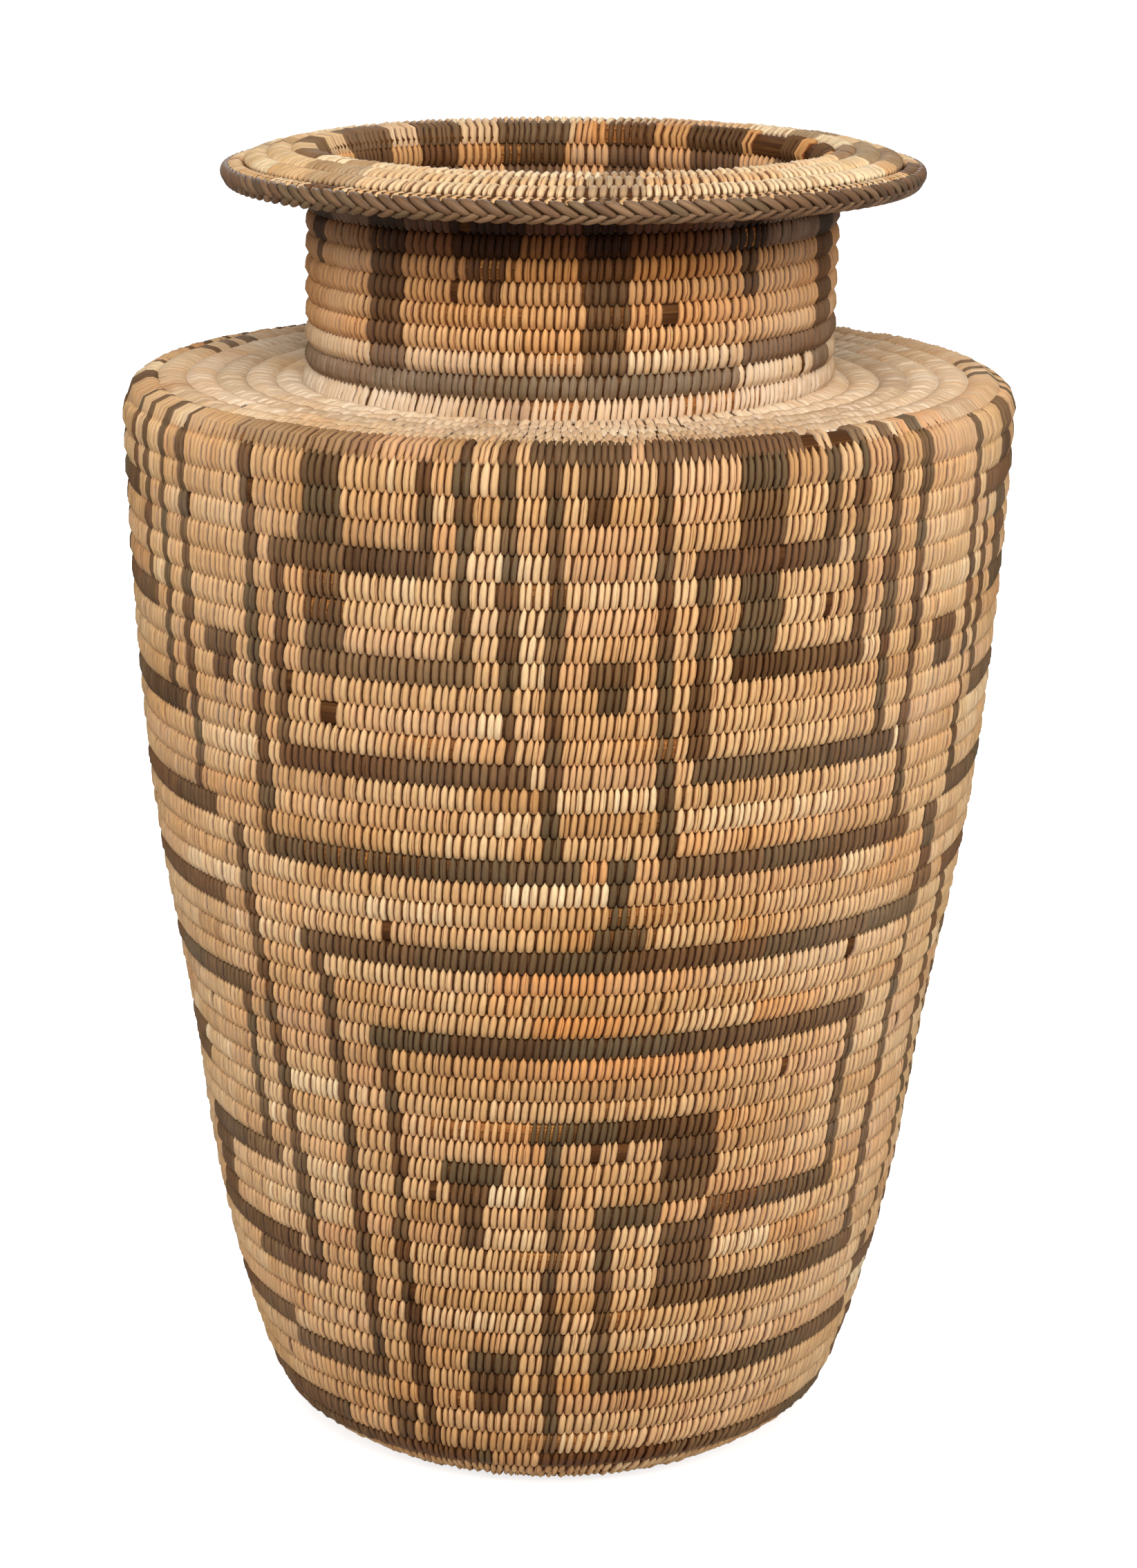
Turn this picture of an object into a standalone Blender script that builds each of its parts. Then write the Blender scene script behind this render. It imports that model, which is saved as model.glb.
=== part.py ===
"""Coiled olla basket: a footed jar laid up from one long sewn coil.

The coil starts at a small knot under the jar, runs out to the foot, climbs the wall row by row, turns
in over the shoulder, climbs the neck and turns out again to a drooping flange. A closed ring of the
same coil ends the flange, and a braid is laced over its outer side.

Every row follows one meridian, and each full turn moves the coil on by one row, so the rows climb as a
true spiral. Each object below is one stretch of that coil, cut where the coil could be unpicked.
"""
import math

import bpy
import bmesh
import numpy as np

# Overall sizes in metres. Radii are to the outside of the coil.
FOOT_RADIUS = 0.0650  # of the ring that the jar stands on
NECK_RADIUS = 0.0796
SHOULDER_WIDTH = 0.0547  # the shoulder stands out this far from the neck
FLANGE_WIDTH = 0.0257  # and the rim this far
SHOULDER_HEIGHT = 0.3328
NECK_HEIGHT = 0.0672  # from the shoulder's edge up to the lip

# The coil: a bundle of stalks under sewn splints. It was laid thicker on the shoulder than on the neck.
COIL_THICKNESS = 0.0074
BASE_ROW = 0.0073
WALL_ROW = 0.00732
SHOULDER_ROW = 0.0089
NECK_ROW = 0.00663
FLANGE_ROW = 0.0068
GROOVE_DEPTH = 0.0015
KNOT_RADIUS = 0.0060

# Small forms of the meridian.
FOOT_FLAT = 0.0005  # worn off the foot coil, so that the jar stands on a flat ring
BASE_HOLLOW = 0.0030  # how far the middle of the base is lifted off the table
EDGE_ROUNDING = 0.0060
SHOULDER_DIP = 0.0026  # the shoulder falls this far from its edge to the neck
NECK_FOOT_ROUNDING = 0.0060
LIP_ROUNDING = 0.0045
RIM_DROP = 0.0034  # height from the lip down to the end of the flange

# The rim coil and the braid over it.
RIM_COIL_THICKNESS = 0.0062
BRAID_THICKNESS = 0.0015
BRAID_RELIEF = 0.0008
BRAID_EDGE = 0.0005
BRAID_PITCH = 0.0100

SEAT_GAP = 0.0003  # between stretches that are sewn to one another

# The wall swells from the foot to the shoulder: share of its height, share of its flare.
WALL_SHARES = (
    (0.011, 0.110), (0.040, 0.293), (0.078, 0.371), (0.140, 0.463), (0.240, 0.576),
    (0.405, 0.697), (0.612, 0.870), (0.818, 0.960), (0.950, 0.992), (1.000, 1.000),
)
# The flange droops more towards its rim: share of its run, share of its drop.
FLANGE_SHARES = ((0.36, 0.05), (0.62, 0.33), (0.86, 0.73), (1.00, 1.00))
ROW_SWELL_SHARE = 0.19  # rows at the wall's foot and top are this much taller than at its middle

# How finely the form is drawn.
STEPS_PER_TURN = 28
CURVE_STEPS = 10
END_STEPS = 2  # steps left out where the coil tapers to nothing
SHIFT_SHARE = 0.154  # share of a turn, on each side of the seam, in which a flange row moves out
SEAM_STEPS = 2  # each stretch starts this many steps further round than the one below
SEAM_ANGLE = math.radians(138.0)
RING_STEPS = 4  # faces of the rim coil that the braid leaves bare
KNOT_RINGS = 3
BRAID_WRAP = math.radians(82.0)  # how far the braid reaches round the rim coil, each way
WALL_STRETCHES = 8

SHOULDER_RADIUS = NECK_RADIUS + SHOULDER_WIDTH
RIM_RADIUS = NECK_RADIUS + FLANGE_WIDTH
HEIGHT = SHOULDER_HEIGHT + NECK_HEIGHT
HALF = COIL_THICKNESS / 2
RIM_HALF = RIM_COIL_THICKNESS / 2
CREST_SHARES = (0.5,)  # of a row's height, where a plain row stands out furthest
ROUND_CREST_SHARES = (0.28, 0.72)  # of a row's height, between which a rounder row is full

WHEAT = (0.62, 0.42, 0.22, 1.0)
STRAW = (0.70, 0.50, 0.28, 1.0)
DUSTY = (0.48, 0.37, 0.26, 1.0)
UMBER = (0.13, 0.085, 0.055, 1.0)


def spline(points):
    """A smooth curve through points, with steady tangents at each of them."""
    p = np.array(points, dtype=float)
    chord = np.linalg.norm(np.diff(p, axis=0), axis=1)
    slope = np.diff(p, axis=0) / chord[:, None]
    weight = chord[1:, None] / (chord[:-1] + chord[1:])[:, None]
    inner = slope[:-1] * weight + slope[1:] * (1 - weight)
    tangent = np.vstack([slope[:1], inner, slope[-1:]])
    out = []
    for k, length in enumerate(chord):
        for t in np.arange(CURVE_STEPS) / CURVE_STEPS:
            a, b = 2 * t**3 - 3 * t**2 + 1, t**3 - 2 * t**2 + t
            out.append(a * p[k] + b * length * tangent[k] + (1 - a) * p[k + 1]
                       + (t**3 - t**2) * length * tangent[k + 1])
    return out + [p[-1]]


def rounded(before, corner, after, radius):
    """The arc that takes the place of a corner, no longer than half of either side."""
    before, corner, after = (np.array(v, dtype=float) for v in (before, corner, after))
    back, on = before - corner, after - corner
    reach = min(np.linalg.norm(back), np.linalg.norm(on)) / 2
    back, on = back / np.linalg.norm(back), on / np.linalg.norm(on)
    half = math.acos(float(np.clip(back @ on, -1, 1))) / 2
    radius = min(radius, reach * math.tan(half))
    centre = corner + (back + on) / np.linalg.norm(back + on) * radius / math.sin(half)
    start = corner + back * radius / math.tan(half) - centre
    sweep = math.pi - 2 * half
    turn = sweep if back[0] * on[1] - back[1] * on[0] < 0 else -sweep
    arc = []
    for t in np.arange(CURVE_STEPS + 1) / CURVE_STEPS:
        c, s = math.cos(turn * t), math.sin(turn * t)
        arc.append(centre + np.array([c * start[0] - s * start[1], s * start[0] + c * start[1]]))
    return arc


def flange_rows(turns):
    """Rows gained after so many turns of the flange, where each row lies still but for a shift at the seam."""
    whole = math.floor(turns)
    part = turns - whole
    near = min(part, 1 - part) / SHIFT_SHARE
    eased = 0.5 * (3 * near**2 - 2 * near**3) if near < 1 else 0.5
    return whole + (eased if part < 0.5 else 1 - eased)


class Meridian:
    """The line that the middle of the coil follows, as radius and height, and the coil's place on it."""

    def __init__(self):
        foot_height = HALF - FOOT_FLAT
        edge = (SHOULDER_RADIUS - HALF, SHOULDER_HEIGHT - HALF)
        neck = NECK_RADIUS - HALF
        flare = edge[0] - FOOT_RADIUS
        lip = (neck, HEIGHT - HALF)
        wall = [(FOOT_RADIUS + flare * f, foot_height + (edge[1] - foot_height) * h)
                for h, f in WALL_SHARES]
        neck_foot = (neck, edge[1] - SHOULDER_DIP)
        ring = RIM_RADIUS - BRAID_THICKNESS - SEAT_GAP - RIM_HALF
        run = ring - RIM_HALF - SEAT_GAP / 2 - neck
        flange = [(neck + run * a, lip[1] - RIM_DROP * b) for a, b in FLANGE_SHARES]

        base = [(FOOT_RADIUS * t, foot_height + BASE_HOLLOW * (1 - t * t))
                for t in np.arange(CURVE_STEPS) / CURVE_STEPS]
        rise = spline([base[-1], (FOOT_RADIUS, foot_height)] + wall[:-1])[CURVE_STEPS:]
        lip_arc = rounded(neck_foot, lip, flange[0], LIP_ROUNDING)
        zones = [
            base + [rise[0]],
            rise + rounded(wall[-2], edge, neck_foot, EDGE_ROUNDING),
            rounded(edge, neck_foot, lip, NECK_FOOT_ROUNDING),
            lip_arc,
            spline([lip_arc[-1]] + flange),
        ]
        points, ends = [np.array(zones[0][0])], []
        for zone in zones:
            points += [np.array(v) for v in zone if np.linalg.norm(np.array(v) - points[-1]) > 0]
            ends.append(len(points) - 1)
        self.points = np.array(points)
        self.length = np.concatenate([[0], np.cumsum(np.linalg.norm(np.diff(self.points, axis=0), axis=1))])
        self.marks = [KNOT_RADIUS] + [self.length[k] for k in ends]
        heights = (BASE_ROW, WALL_ROW, SHOULDER_ROW, NECK_ROW, FLANGE_ROW)
        spans = list(zip(self.marks, self.marks[1:], heights))
        self.turns = [(b - a) / height for a, b, height in spans]
        self.turns[-1] = round(self.turns[-1] - 0.5)
        self.first_turns = [float(v) for v in 1 + np.concatenate([[0], np.cumsum(self.turns)])]

    def along(self, turn):
        """How far along the meridian the coil's lower side is after so many turns."""
        if turn <= self.first_turns[0]:
            return self.marks[0]
        zone = next((k for k, first in enumerate(self.first_turns[1:]) if turn < first), len(self.turns) - 1)
        low, high, count = self.marks[zone], self.marks[zone + 1], self.turns[zone]
        share = (turn - self.first_turns[zone]) / count
        if zone == 1:
            swell = ROW_SWELL_SHARE
            share = (share + swell * ((2 * share - 1) ** 3 + 1) / 6) / (1 + swell / 3)
        if zone == len(self.turns) - 1:
            share = min(flange_rows(turn - self.first_turns[zone]) / (count + 0.5), 1)
        return low + share * (high - low)

    def place(self, along, offset):
        """Radius and height of a point beside the meridian, on its outer side where offset is positive."""
        reach = COIL_THICKNESS / 4
        at = [np.array([np.interp(v, self.length, self.points[:, k]) for k in (0, 1)])
              for v in (along, max(along - reach, 0), min(along + reach, self.length[-1]))]
        way = (at[2] - at[1]) / np.linalg.norm(at[2] - at[1])
        radius, height = at[0] + offset * np.array([way[1], -way[0]])
        return radius, max(height, 0)


def material(name, colour, roughness):
    made = bpy.data.materials.new(name)
    made.use_nodes = True
    shader = made.node_tree.nodes["Principled BSDF"]
    shader.inputs["Base Color"].default_value = colour
    shader.inputs["Roughness"].default_value = roughness
    shader.inputs["Metallic"].default_value = 0.0
    return made


def finish(name, bm, colour, roughness=0.75):
    """Turns a bmesh into a named object with a material of its own, shaded smooth."""
    bmesh.ops.recalc_face_normals(bm, faces=bm.faces)
    mesh = bpy.data.meshes.new(name)
    bm.to_mesh(mesh)
    bm.free()
    mesh.materials.append(material(name, colour, roughness))
    mesh.shade_smooth()
    mesh.set_sharp_from_angle(angle=math.radians(55.0))
    thing = bpy.data.objects.new(name, mesh)
    bpy.context.collection.objects.link(thing)
    return thing


class Stretch:
    """One stretch of the coil, from one helix step to another, ribbed where rows show.

    A helix step is one segment of one turn. The outer and inner surfaces are grids over the steps, a
    ledge closes them below and another above, and a flat face closes each end of the coil.
    """

    def __init__(self, line, first, last, outer, inner):
        self.line, self.first, self.last = line, first, last
        self.outer, self.inner = outer, inner
        self.bm = bmesh.new()
        self.verts = {}

    def vert(self, step, crest, side):
        """The vertex at a step's groove, or at one of its crests, on the outer or the inner side."""
        key = (step, crest, side)
        if key not in self.verts:
            self.verts[key] = self.bm.verts.new(self.point(step, crest, side))
        return self.verts[key]

    def point(self, step, crest, side):
        low = self.line.along(step / STEPS_PER_TURN)
        high = self.line.along(step / STEPS_PER_TURN + 1)
        offset = HALF - GROOVE_DEPTH
        along = low
        if crest:
            along = low + crest * (high - low)
            offset += GROOVE_DEPTH * min((high - low) / HALF, 1)
        elif step <= self.first + STEPS_PER_TURN:
            along += SEAT_GAP / 2
        elif step >= self.last:
            along -= SEAT_GAP / 2
        radius, height = self.line.place(along, offset * side)
        angle = 2 * math.pi * step / STEPS_PER_TURN + SEAM_ANGLE
        if step == self.first or (step == self.first + STEPS_PER_TURN and not crest):
            angle += SEAT_GAP / 2 / radius
        if step == self.last or step == self.last + STEPS_PER_TURN:
            angle -= SEAT_GAP / 2 / radius
        return radius * math.cos(angle), radius * math.sin(angle), height

    def chain(self, step, crests, side):
        """A row's vertices from its lower groove over its crests to the groove above."""
        row = [self.vert(step, crest, side) for crest in (0, *crests)]
        return row + [self.vert(step + STEPS_PER_TURN, 0, side)]

    def rows(self, crests, side):
        for step in range(self.first, self.last):
            here, there = self.chain(step, crests, side), self.chain(step + 1, crests, side)
            for k in range(len(here) - 1):
                self.bm.faces.new((here[k], there[k], there[k + 1], here[k + 1]))

    def plain_side(self, side):
        """One tall face for each step round, with the coil's two ends as extra corners."""
        turn = STEPS_PER_TURN
        for step in range(self.first, self.first + turn):
            above = self.last + (step - self.last) % turn
            left = [step, above] if step > self.first else [step, step + turn, above]
            right = [step + 1, above + 1]
            if above + 1 == self.last + turn:
                right.insert(1, self.last)
            ring = left[::-1] + right
            self.bm.faces.new([self.vert(k, 0, side) for k in ring])

    def build(self, name, colour):
        self.rows(self.outer, 1)
        if self.inner is None:
            self.plain_side(-1)
        else:
            self.rows(self.inner, -1)
        for start in (self.first, self.last):
            for step in range(start, start + STEPS_PER_TURN):
                self.bm.faces.new((self.vert(step, 0, 1), self.vert(step, 0, -1),
                                   self.vert(step + 1, 0, -1), self.vert(step + 1, 0, 1)))
            ends = self.chain(start, self.outer, 1)
            self.bm.faces.new(ends + self.chain(start, self.inner or (), -1)[::-1])
        return finish(name, self.bm, colour)


def start_knot(line):
    """The knot that the coil starts from, a low button that shows inside and under the base."""
    bm = bmesh.new()
    radius = KNOT_RADIUS - SEAT_GAP / 2
    middle = line.points[0][1]
    sides = STEPS_PER_TURN // 2
    rings = []
    for side in (1, -1):
        for k in range(KNOT_RINGS):
            tilt = math.pi / 2 * k / KNOT_RINGS
            level = middle + side * (HALF - GROOVE_DEPTH + GROOVE_DEPTH * math.sin(tilt))
            reach = radius * math.cos(tilt)
            ring = [bm.verts.new((reach * math.cos(2 * math.pi * j / sides),
                                  reach * math.sin(2 * math.pi * j / sides), level)) for j in range(sides)]
            rings.append(ring)
    order = rings[KNOT_RINGS - 1::-1] + rings[KNOT_RINGS:]
    for low, high in zip(order, order[1:]):
        for j in range(sides):
            bm.faces.new((low[j], low[(j + 1) % sides], high[(j + 1) % sides], high[j]))
    for ring, side in ((order[0], 1), (order[-1], -1)):
        tip = bm.verts.new((0, 0, middle + side * HALF))
        for j in range(sides):
            bm.faces.new((ring[j], ring[(j + 1) % sides], tip))
    return finish("start_knot", bm, UMBER)


def ring_centre(line):
    """Radius and height of the rim coil's middle, in line with the end of the flange."""
    end, before = line.points[-1], line.points[-2]
    way = (end - before) / np.linalg.norm(end - before)
    centre = end + way * (RIM_HALF + SEAT_GAP / 2)
    return centre, math.atan2(way[1], way[0])


def rim_coil(line):
    """The closed ring of coil that ends the flange, faceted under the braid as the braid's seat is."""
    (radius, height), tilt = ring_centre(line)
    spare = 2 * (math.pi - BRAID_WRAP) / RING_STEPS
    leans = [-BRAID_WRAP, 0] + [BRAID_WRAP + spare * k for k in range(RING_STEPS)]
    bm = bmesh.new()
    profile = [bm.verts.new((radius + RIM_HALF * math.cos(tilt + lean), 0,
                             height + RIM_HALF * math.sin(tilt + lean))) for lean in leans]
    edges = [bm.edges.new((a, b)) for a, b in zip(profile, profile[1:] + profile[:1])]
    bmesh.ops.spin(bm, geom=profile + edges, cent=(0, 0, 0), axis=(0, 0, 1), angle=2 * math.pi,
                   steps=2 * STEPS_PER_TURN, use_merge=True)
    return finish("rim_coil", bm, STRAW)


def rim_braid(line):
    """The braid laced over the rim coil: splints that slant both ways off a ridge and lock in a herringbone.

    Its section has an edge above the coil and one below, a shoulder on each side and the ridge between.
    Along the rim the shoulders stand out where the ridge sinks in, which draws the herringbone.
    """
    (radius, height), tilt = ring_centre(line)
    plaits = round(2 * math.pi * RIM_RADIUS / BRAID_PITCH)
    seat = RIM_HALF + SEAT_GAP / math.cos(BRAID_WRAP / 2)
    shoulder, edge = BRAID_WRAP / 2, BRAID_WRAP
    bm = bmesh.new()
    columns = []
    for step in range(2 * plaits):
        angle = math.pi * step / plaits
        sunk = BRAID_RELIEF if step % 2 else 0
        top = seat + BRAID_THICKNESS
        section = [
            (seat + BRAID_EDGE, -edge), (top - sunk, -shoulder), (top - BRAID_RELIEF + sunk, 0),
            (top - sunk, shoulder), (seat + BRAID_EDGE, edge), (seat, edge), (seat, 0), (seat, -edge),
        ]
        ring = []
        for reach, lean in section:
            out = radius + reach * math.cos(tilt + lean)
            ring.append(bm.verts.new((out * math.cos(angle), out * math.sin(angle),
                                      height + reach * math.sin(tilt + lean))))
        columns.append(ring)
    for here, there in zip(columns, columns[1:] + columns[:1]):
        for k in range(len(here)):
            n = (k + 1) % len(here)
            bm.faces.new((here[k], there[k], there[n], here[n]))
    return finish("rim_braid", bm, UMBER, 0.6)


def stretches(line):
    """Names, first turns and forms of the stretches, from the base to the flange."""
    base, wall, shoulder, neck, flange, end = line.first_turns
    rows = [
        ("base_coils_inner", 0, ROUND_CREST_SHARES, None, WHEAT),
        ("base_coils_outer", (base + wall) / 2, ROUND_CREST_SHARES, None, WHEAT),
        ("foot_coil", wall - 1, ROUND_CREST_SHARES, (), DUSTY),
    ]
    for k in range(WALL_STRETCHES):
        first = wall + (shoulder - 1 - wall) * k / WALL_STRETCHES
        rows.append((f"wall_coils_{k + 1}", first, ROUND_CREST_SHARES, None if k else (), WHEAT))
    rows += [
        ("shoulder_edge_coil", shoulder - 1, ROUND_CREST_SHARES, (), STRAW),
        ("shoulder_coils_outer", shoulder, ROUND_CREST_SHARES, (), DUSTY),
        ("shoulder_coils_inner", (shoulder + neck) / 2, ROUND_CREST_SHARES, (), DUSTY),
        ("neck_foot_coil", neck, ROUND_CREST_SHARES, (), STRAW),
        ("neck_coils_lower", neck + 1, ROUND_CREST_SHARES, (), WHEAT),
        ("neck_coils_upper", (neck + 1 + flange) / 2, ROUND_CREST_SHARES, CREST_SHARES, WHEAT),
        ("lip_coil", flange - 1, CREST_SHARES, ROUND_CREST_SHARES, STRAW),
        ("flange_coils", flange, CREST_SHARES, ROUND_CREST_SHARES, STRAW),
    ]
    return rows, end


def main():
    for old in list(bpy.data.objects):
        bpy.data.objects.remove(old, do_unlink=True)
    line = Meridian()
    start_knot(line)
    rows, end = stretches(line)
    turn = STEPS_PER_TURN
    steps = [END_STEPS]
    for k, row in enumerate(rows[1:], 1):
        steps.append(round(row[1] * turn) + SEAM_STEPS * (k - len(rows) // 2))
    steps.append(round((end + SHIFT_SHARE) * turn) - END_STEPS)
    for row, first, last in zip(rows, steps, steps[1:]):
        name, _, outer, inner, colour = row
        Stretch(line, first, last, outer, inner).build(name, colour)
    rim_coil(line)
    rim_braid(line)
    rounds = ", ".join(f"{count:.1f}" for count in line.turns)
    print("rounds of coil in base, wall, shoulder, neck and flange:", rounds)


main()
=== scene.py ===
"""Looks of the coiled olla basket: sewn splints over stalks, a braided rim, light and camera."""
import logging
import math
from dataclasses import dataclass, field
from enum import Enum

import bpy
import numpy as np
from mathutils import Matrix


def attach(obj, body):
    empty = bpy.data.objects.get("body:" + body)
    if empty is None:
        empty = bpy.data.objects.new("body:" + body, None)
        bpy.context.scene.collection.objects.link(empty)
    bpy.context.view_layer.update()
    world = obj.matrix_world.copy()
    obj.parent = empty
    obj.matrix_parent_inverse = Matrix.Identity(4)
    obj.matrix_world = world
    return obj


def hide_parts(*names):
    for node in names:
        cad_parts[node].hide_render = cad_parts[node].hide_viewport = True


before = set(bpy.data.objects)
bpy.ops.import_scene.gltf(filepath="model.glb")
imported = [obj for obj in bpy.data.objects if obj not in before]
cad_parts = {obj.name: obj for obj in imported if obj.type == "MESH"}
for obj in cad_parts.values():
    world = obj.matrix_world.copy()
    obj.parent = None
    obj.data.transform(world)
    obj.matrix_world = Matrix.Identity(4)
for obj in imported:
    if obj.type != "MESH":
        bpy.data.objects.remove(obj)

Colour = tuple[float, float, float, float]
Stops = tuple[tuple[float, Colour], ...]

log = logging.getLogger("olla")
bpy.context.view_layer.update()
SEAM = 138.0  # degrees round the jar where its turns are counted from
FRONT = (270.0 - SEAM) / 360.0  # share of a turn from the seam to the front
LEAN_ASIDE = 0.0131  # the jar leans this far towards +x for each metre of height
LEAN_LEVEL = 0.2  # the height at which the lean is nothing
WAVE_KNOTS = 4000
PLACE_UNITS = 100  # the place attribute of a bundle counts centimetres along it
CELL_FACE = ((0.06, 0.10), (0.88, 0.84))  # a face's corner and size in its bake cell
CELL_BACK = ((0.05, 0.01), (0.90, 0.05))  # and its closed back
CELL_HEIGHT = 2.4  # in cell widths
TURN = 2 * math.pi
OWN_NUMBERS = 50  # each stitch draws its own number from 0 to this, which its grain starts from


class Side(Enum):
    """Which face of the coil a stitch is seen on."""

    OUTER = 1
    INNER = -1


def paint(red: int, green: int, blue: int) -> Colour:
    """Turns a colour as seen on a screen into the linear colour that a shader takes.

    Args:
        red, green, blue: Channels from 0 to 255.

    Returns:
        The linear colour with full alpha.
    """
    line = [c / 255 / 12.92 if c < 10.3 else ((c / 255 + 0.055) / 1.055) ** 2.4 for c in (red, green, blue)]
    return line[0], line[1], line[2], 1.0


def wave(turn: np.ndarray, seed: int, step: float = 0.11) -> np.ndarray:
    """Slow, smooth unevenness along the coil.

    Args:
        turn: Places on the coil in turns.
        seed: Which of the uneven lines to read.
        step: Turns between two of its knots.

    Returns:
        Values between -1 and 1, one for each place.
    """
    knots = np.random.default_rng(seed).uniform(-1, 1, WAVE_KNOTS)
    at = np.asarray(turn) / step
    low = np.floor(at).astype(int)
    part = at - low
    part = part * part * (3 - 2 * part)
    return knots[low % WAVE_KNOTS] * (1 - part) + knots[(low + 1) % WAVE_KNOTS] * part


def looseness(turn: np.ndarray) -> np.ndarray:
    """Where the splints were sewn apart, so that the bundle shows: 0 for tight, up to about 0.4."""
    return np.clip(wave(turn, 12, 0.04) - 0.55, 0, 1)


@dataclass
class CoilLine:
    """The line that the middle of the coil follows from the knot to the end of the flange."""

    foot_radius: float = 0.0650
    neck_radius: float = 0.0796
    shoulder_width: float = 0.0547
    flange_width: float = 0.0257
    shoulder_height: float = 0.3328
    neck_height: float = 0.0672
    thickness: float = 0.0074
    rows: tuple[float, ...] = (0.0073, 0.00732, 0.0089, 0.00663, 0.0068)
    groove: float = 0.0015
    knot_radius: float = 0.0060
    foot_flat: float = 0.0005
    base_hollow: float = 0.0030
    edge_rounding: float = 0.0060
    shoulder_dip: float = 0.0026
    neck_foot_rounding: float = 0.0060
    lip_rounding: float = 0.0045
    rim_drop: float = 0.0034
    rim_thickness: float = 0.0062
    braid_thickness: float = 0.0015
    seat_gap: float = 0.0003
    wall_shares: tuple[tuple[float, float], ...] = (
        (0.011, 0.110), (0.040, 0.293), (0.078, 0.371), (0.140, 0.463), (0.240, 0.576),
        (0.405, 0.697), (0.612, 0.870), (0.818, 0.960), (0.950, 0.992), (1.000, 1.000))
    flange_shares: tuple[tuple[float, float], ...] = (
        (0.36, 0.05), (0.62, 0.33), (0.86, 0.73), (1.00, 1.00))
    swell: float = 0.19
    shift_share: float = 0.154
    curve_steps: int = 10
    seam: float = math.radians(SEAM)

    def __post_init__(self) -> None:
        """Draws the meridian and the table of how far along it each turn has come."""
        self.half = self.thickness / 2
        self.rim_radius = self.neck_radius + self.flange_width
        self.height = self.shoulder_height + self.neck_height
        self.points, ends = self.draw()
        steps = np.linalg.norm(np.diff(self.points, axis=0), axis=1)
        self.length = np.concatenate([[0], np.cumsum(steps)])
        self.marks = [self.knot_radius] + [float(self.length[k]) for k in ends]
        spans = zip(self.marks, self.marks[1:], self.rows)
        self.counts = [(b - a) / row for a, b, row in spans]
        self.counts[-1] = round(self.counts[-1] - 0.5)
        self.firsts = [float(v) for v in 1 + np.concatenate([[0], np.cumsum(self.counts)])]
        self.turn_table = np.linspace(0, self.firsts[-1] + 1.4, 15001)
        self.along_table = np.array([self.reach(t) for t in self.turn_table])

    def spline(self, points: list) -> list:
        """A smooth curve with steady tangents.

        Args:
            points: Pairs of radius and height to pass through.

        Returns:
            The points of the curve.
        """
        p = np.array(points, dtype=float)
        chord = np.linalg.norm(np.diff(p, axis=0), axis=1)
        slope = np.diff(p, axis=0) / chord[:, None]
        weight = chord[1:, None] / (chord[:-1] + chord[1:])[:, None]
        inner = slope[:-1] * weight + slope[1:] * (1 - weight)
        tangent = np.vstack([slope[:1], inner, slope[-1:]])
        out = []
        for k, length in enumerate(chord):
            for t in np.arange(self.curve_steps) / self.curve_steps:
                a, b = 2 * t**3 - 3 * t**2 + 1, t**3 - 2 * t**2 + t
                out.append(a * p[k] + b * length * tangent[k] + (1 - a) * p[k + 1]
                           + (t**3 - t**2) * length * tangent[k + 1])
        return out + [p[-1]]

    def rounded(self, before: tuple, corner: tuple, after: tuple, radius: float) -> list:
        """The arc that takes the place of a corner.

        Args:
            before, corner, after: The corner and the points on either side of it.
            radius: The arc's radius, where both sides are long enough.

        Returns:
            The points of the arc.
        """
        before, corner, after = (np.array(v, dtype=float) for v in (before, corner, after))
        back, on = before - corner, after - corner
        reach = min(np.linalg.norm(back), np.linalg.norm(on)) / 2
        back, on = back / np.linalg.norm(back), on / np.linalg.norm(on)
        half = math.acos(float(np.clip(back @ on, -1, 1))) / 2
        radius = min(radius, reach * math.tan(half))
        centre = corner + (back + on) / np.linalg.norm(back + on) * radius / math.sin(half)
        start = corner + back * radius / math.tan(half) - centre
        sweep = math.pi - 2 * half
        turn = sweep if back[0] * on[1] - back[1] * on[0] < 0 else -sweep
        arc = []
        for t in np.arange(self.curve_steps + 1) / self.curve_steps:
            c, s = math.cos(turn * t), math.sin(turn * t)
            arc.append(centre + np.array([c * start[0] - s * start[1], s * start[0] + c * start[1]]))
        return arc

    def draw(self) -> tuple[np.ndarray, list[int]]:
        """Draws the whole meridian.

        Returns:
            Its points, and the index at which each of its five zones ends.
        """
        foot_height = self.half - self.foot_flat
        shoulder = self.neck_radius + self.shoulder_width
        edge = (shoulder - self.half, self.shoulder_height - self.half)
        neck = self.neck_radius - self.half
        flare = edge[0] - self.foot_radius
        lip = (neck, self.height - self.half)
        wall = [(self.foot_radius + flare * f, foot_height + (edge[1] - foot_height) * h)
                for h, f in self.wall_shares]
        neck_foot = (neck, edge[1] - self.shoulder_dip)
        rim_half = self.rim_thickness / 2
        ring = self.rim_radius - self.braid_thickness - self.seat_gap - rim_half
        run = ring - rim_half - self.seat_gap / 2 - neck
        flange = [(neck + run * a, lip[1] - self.rim_drop * b) for a, b in self.flange_shares]
        base = [(self.foot_radius * t, foot_height + self.base_hollow * (1 - t * t))
                for t in np.arange(self.curve_steps) / self.curve_steps]
        rise = self.spline([base[-1], (self.foot_radius, foot_height)] + wall[:-1])[self.curve_steps:]
        lip_arc = self.rounded(neck_foot, lip, flange[0], self.lip_rounding)
        zones = [
            base + [rise[0]],
            rise + self.rounded(wall[-2], edge, neck_foot, self.edge_rounding),
            self.rounded(edge, neck_foot, lip, self.neck_foot_rounding),
            lip_arc,
            self.spline([lip_arc[-1]] + flange),
        ]
        points, ends = [np.array(zones[0][0])], []
        for zone in zones:
            points += [np.array(v) for v in zone if np.linalg.norm(np.array(v) - points[-1]) > 0]
            ends.append(len(points) - 1)
        return np.array(points), ends

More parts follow.
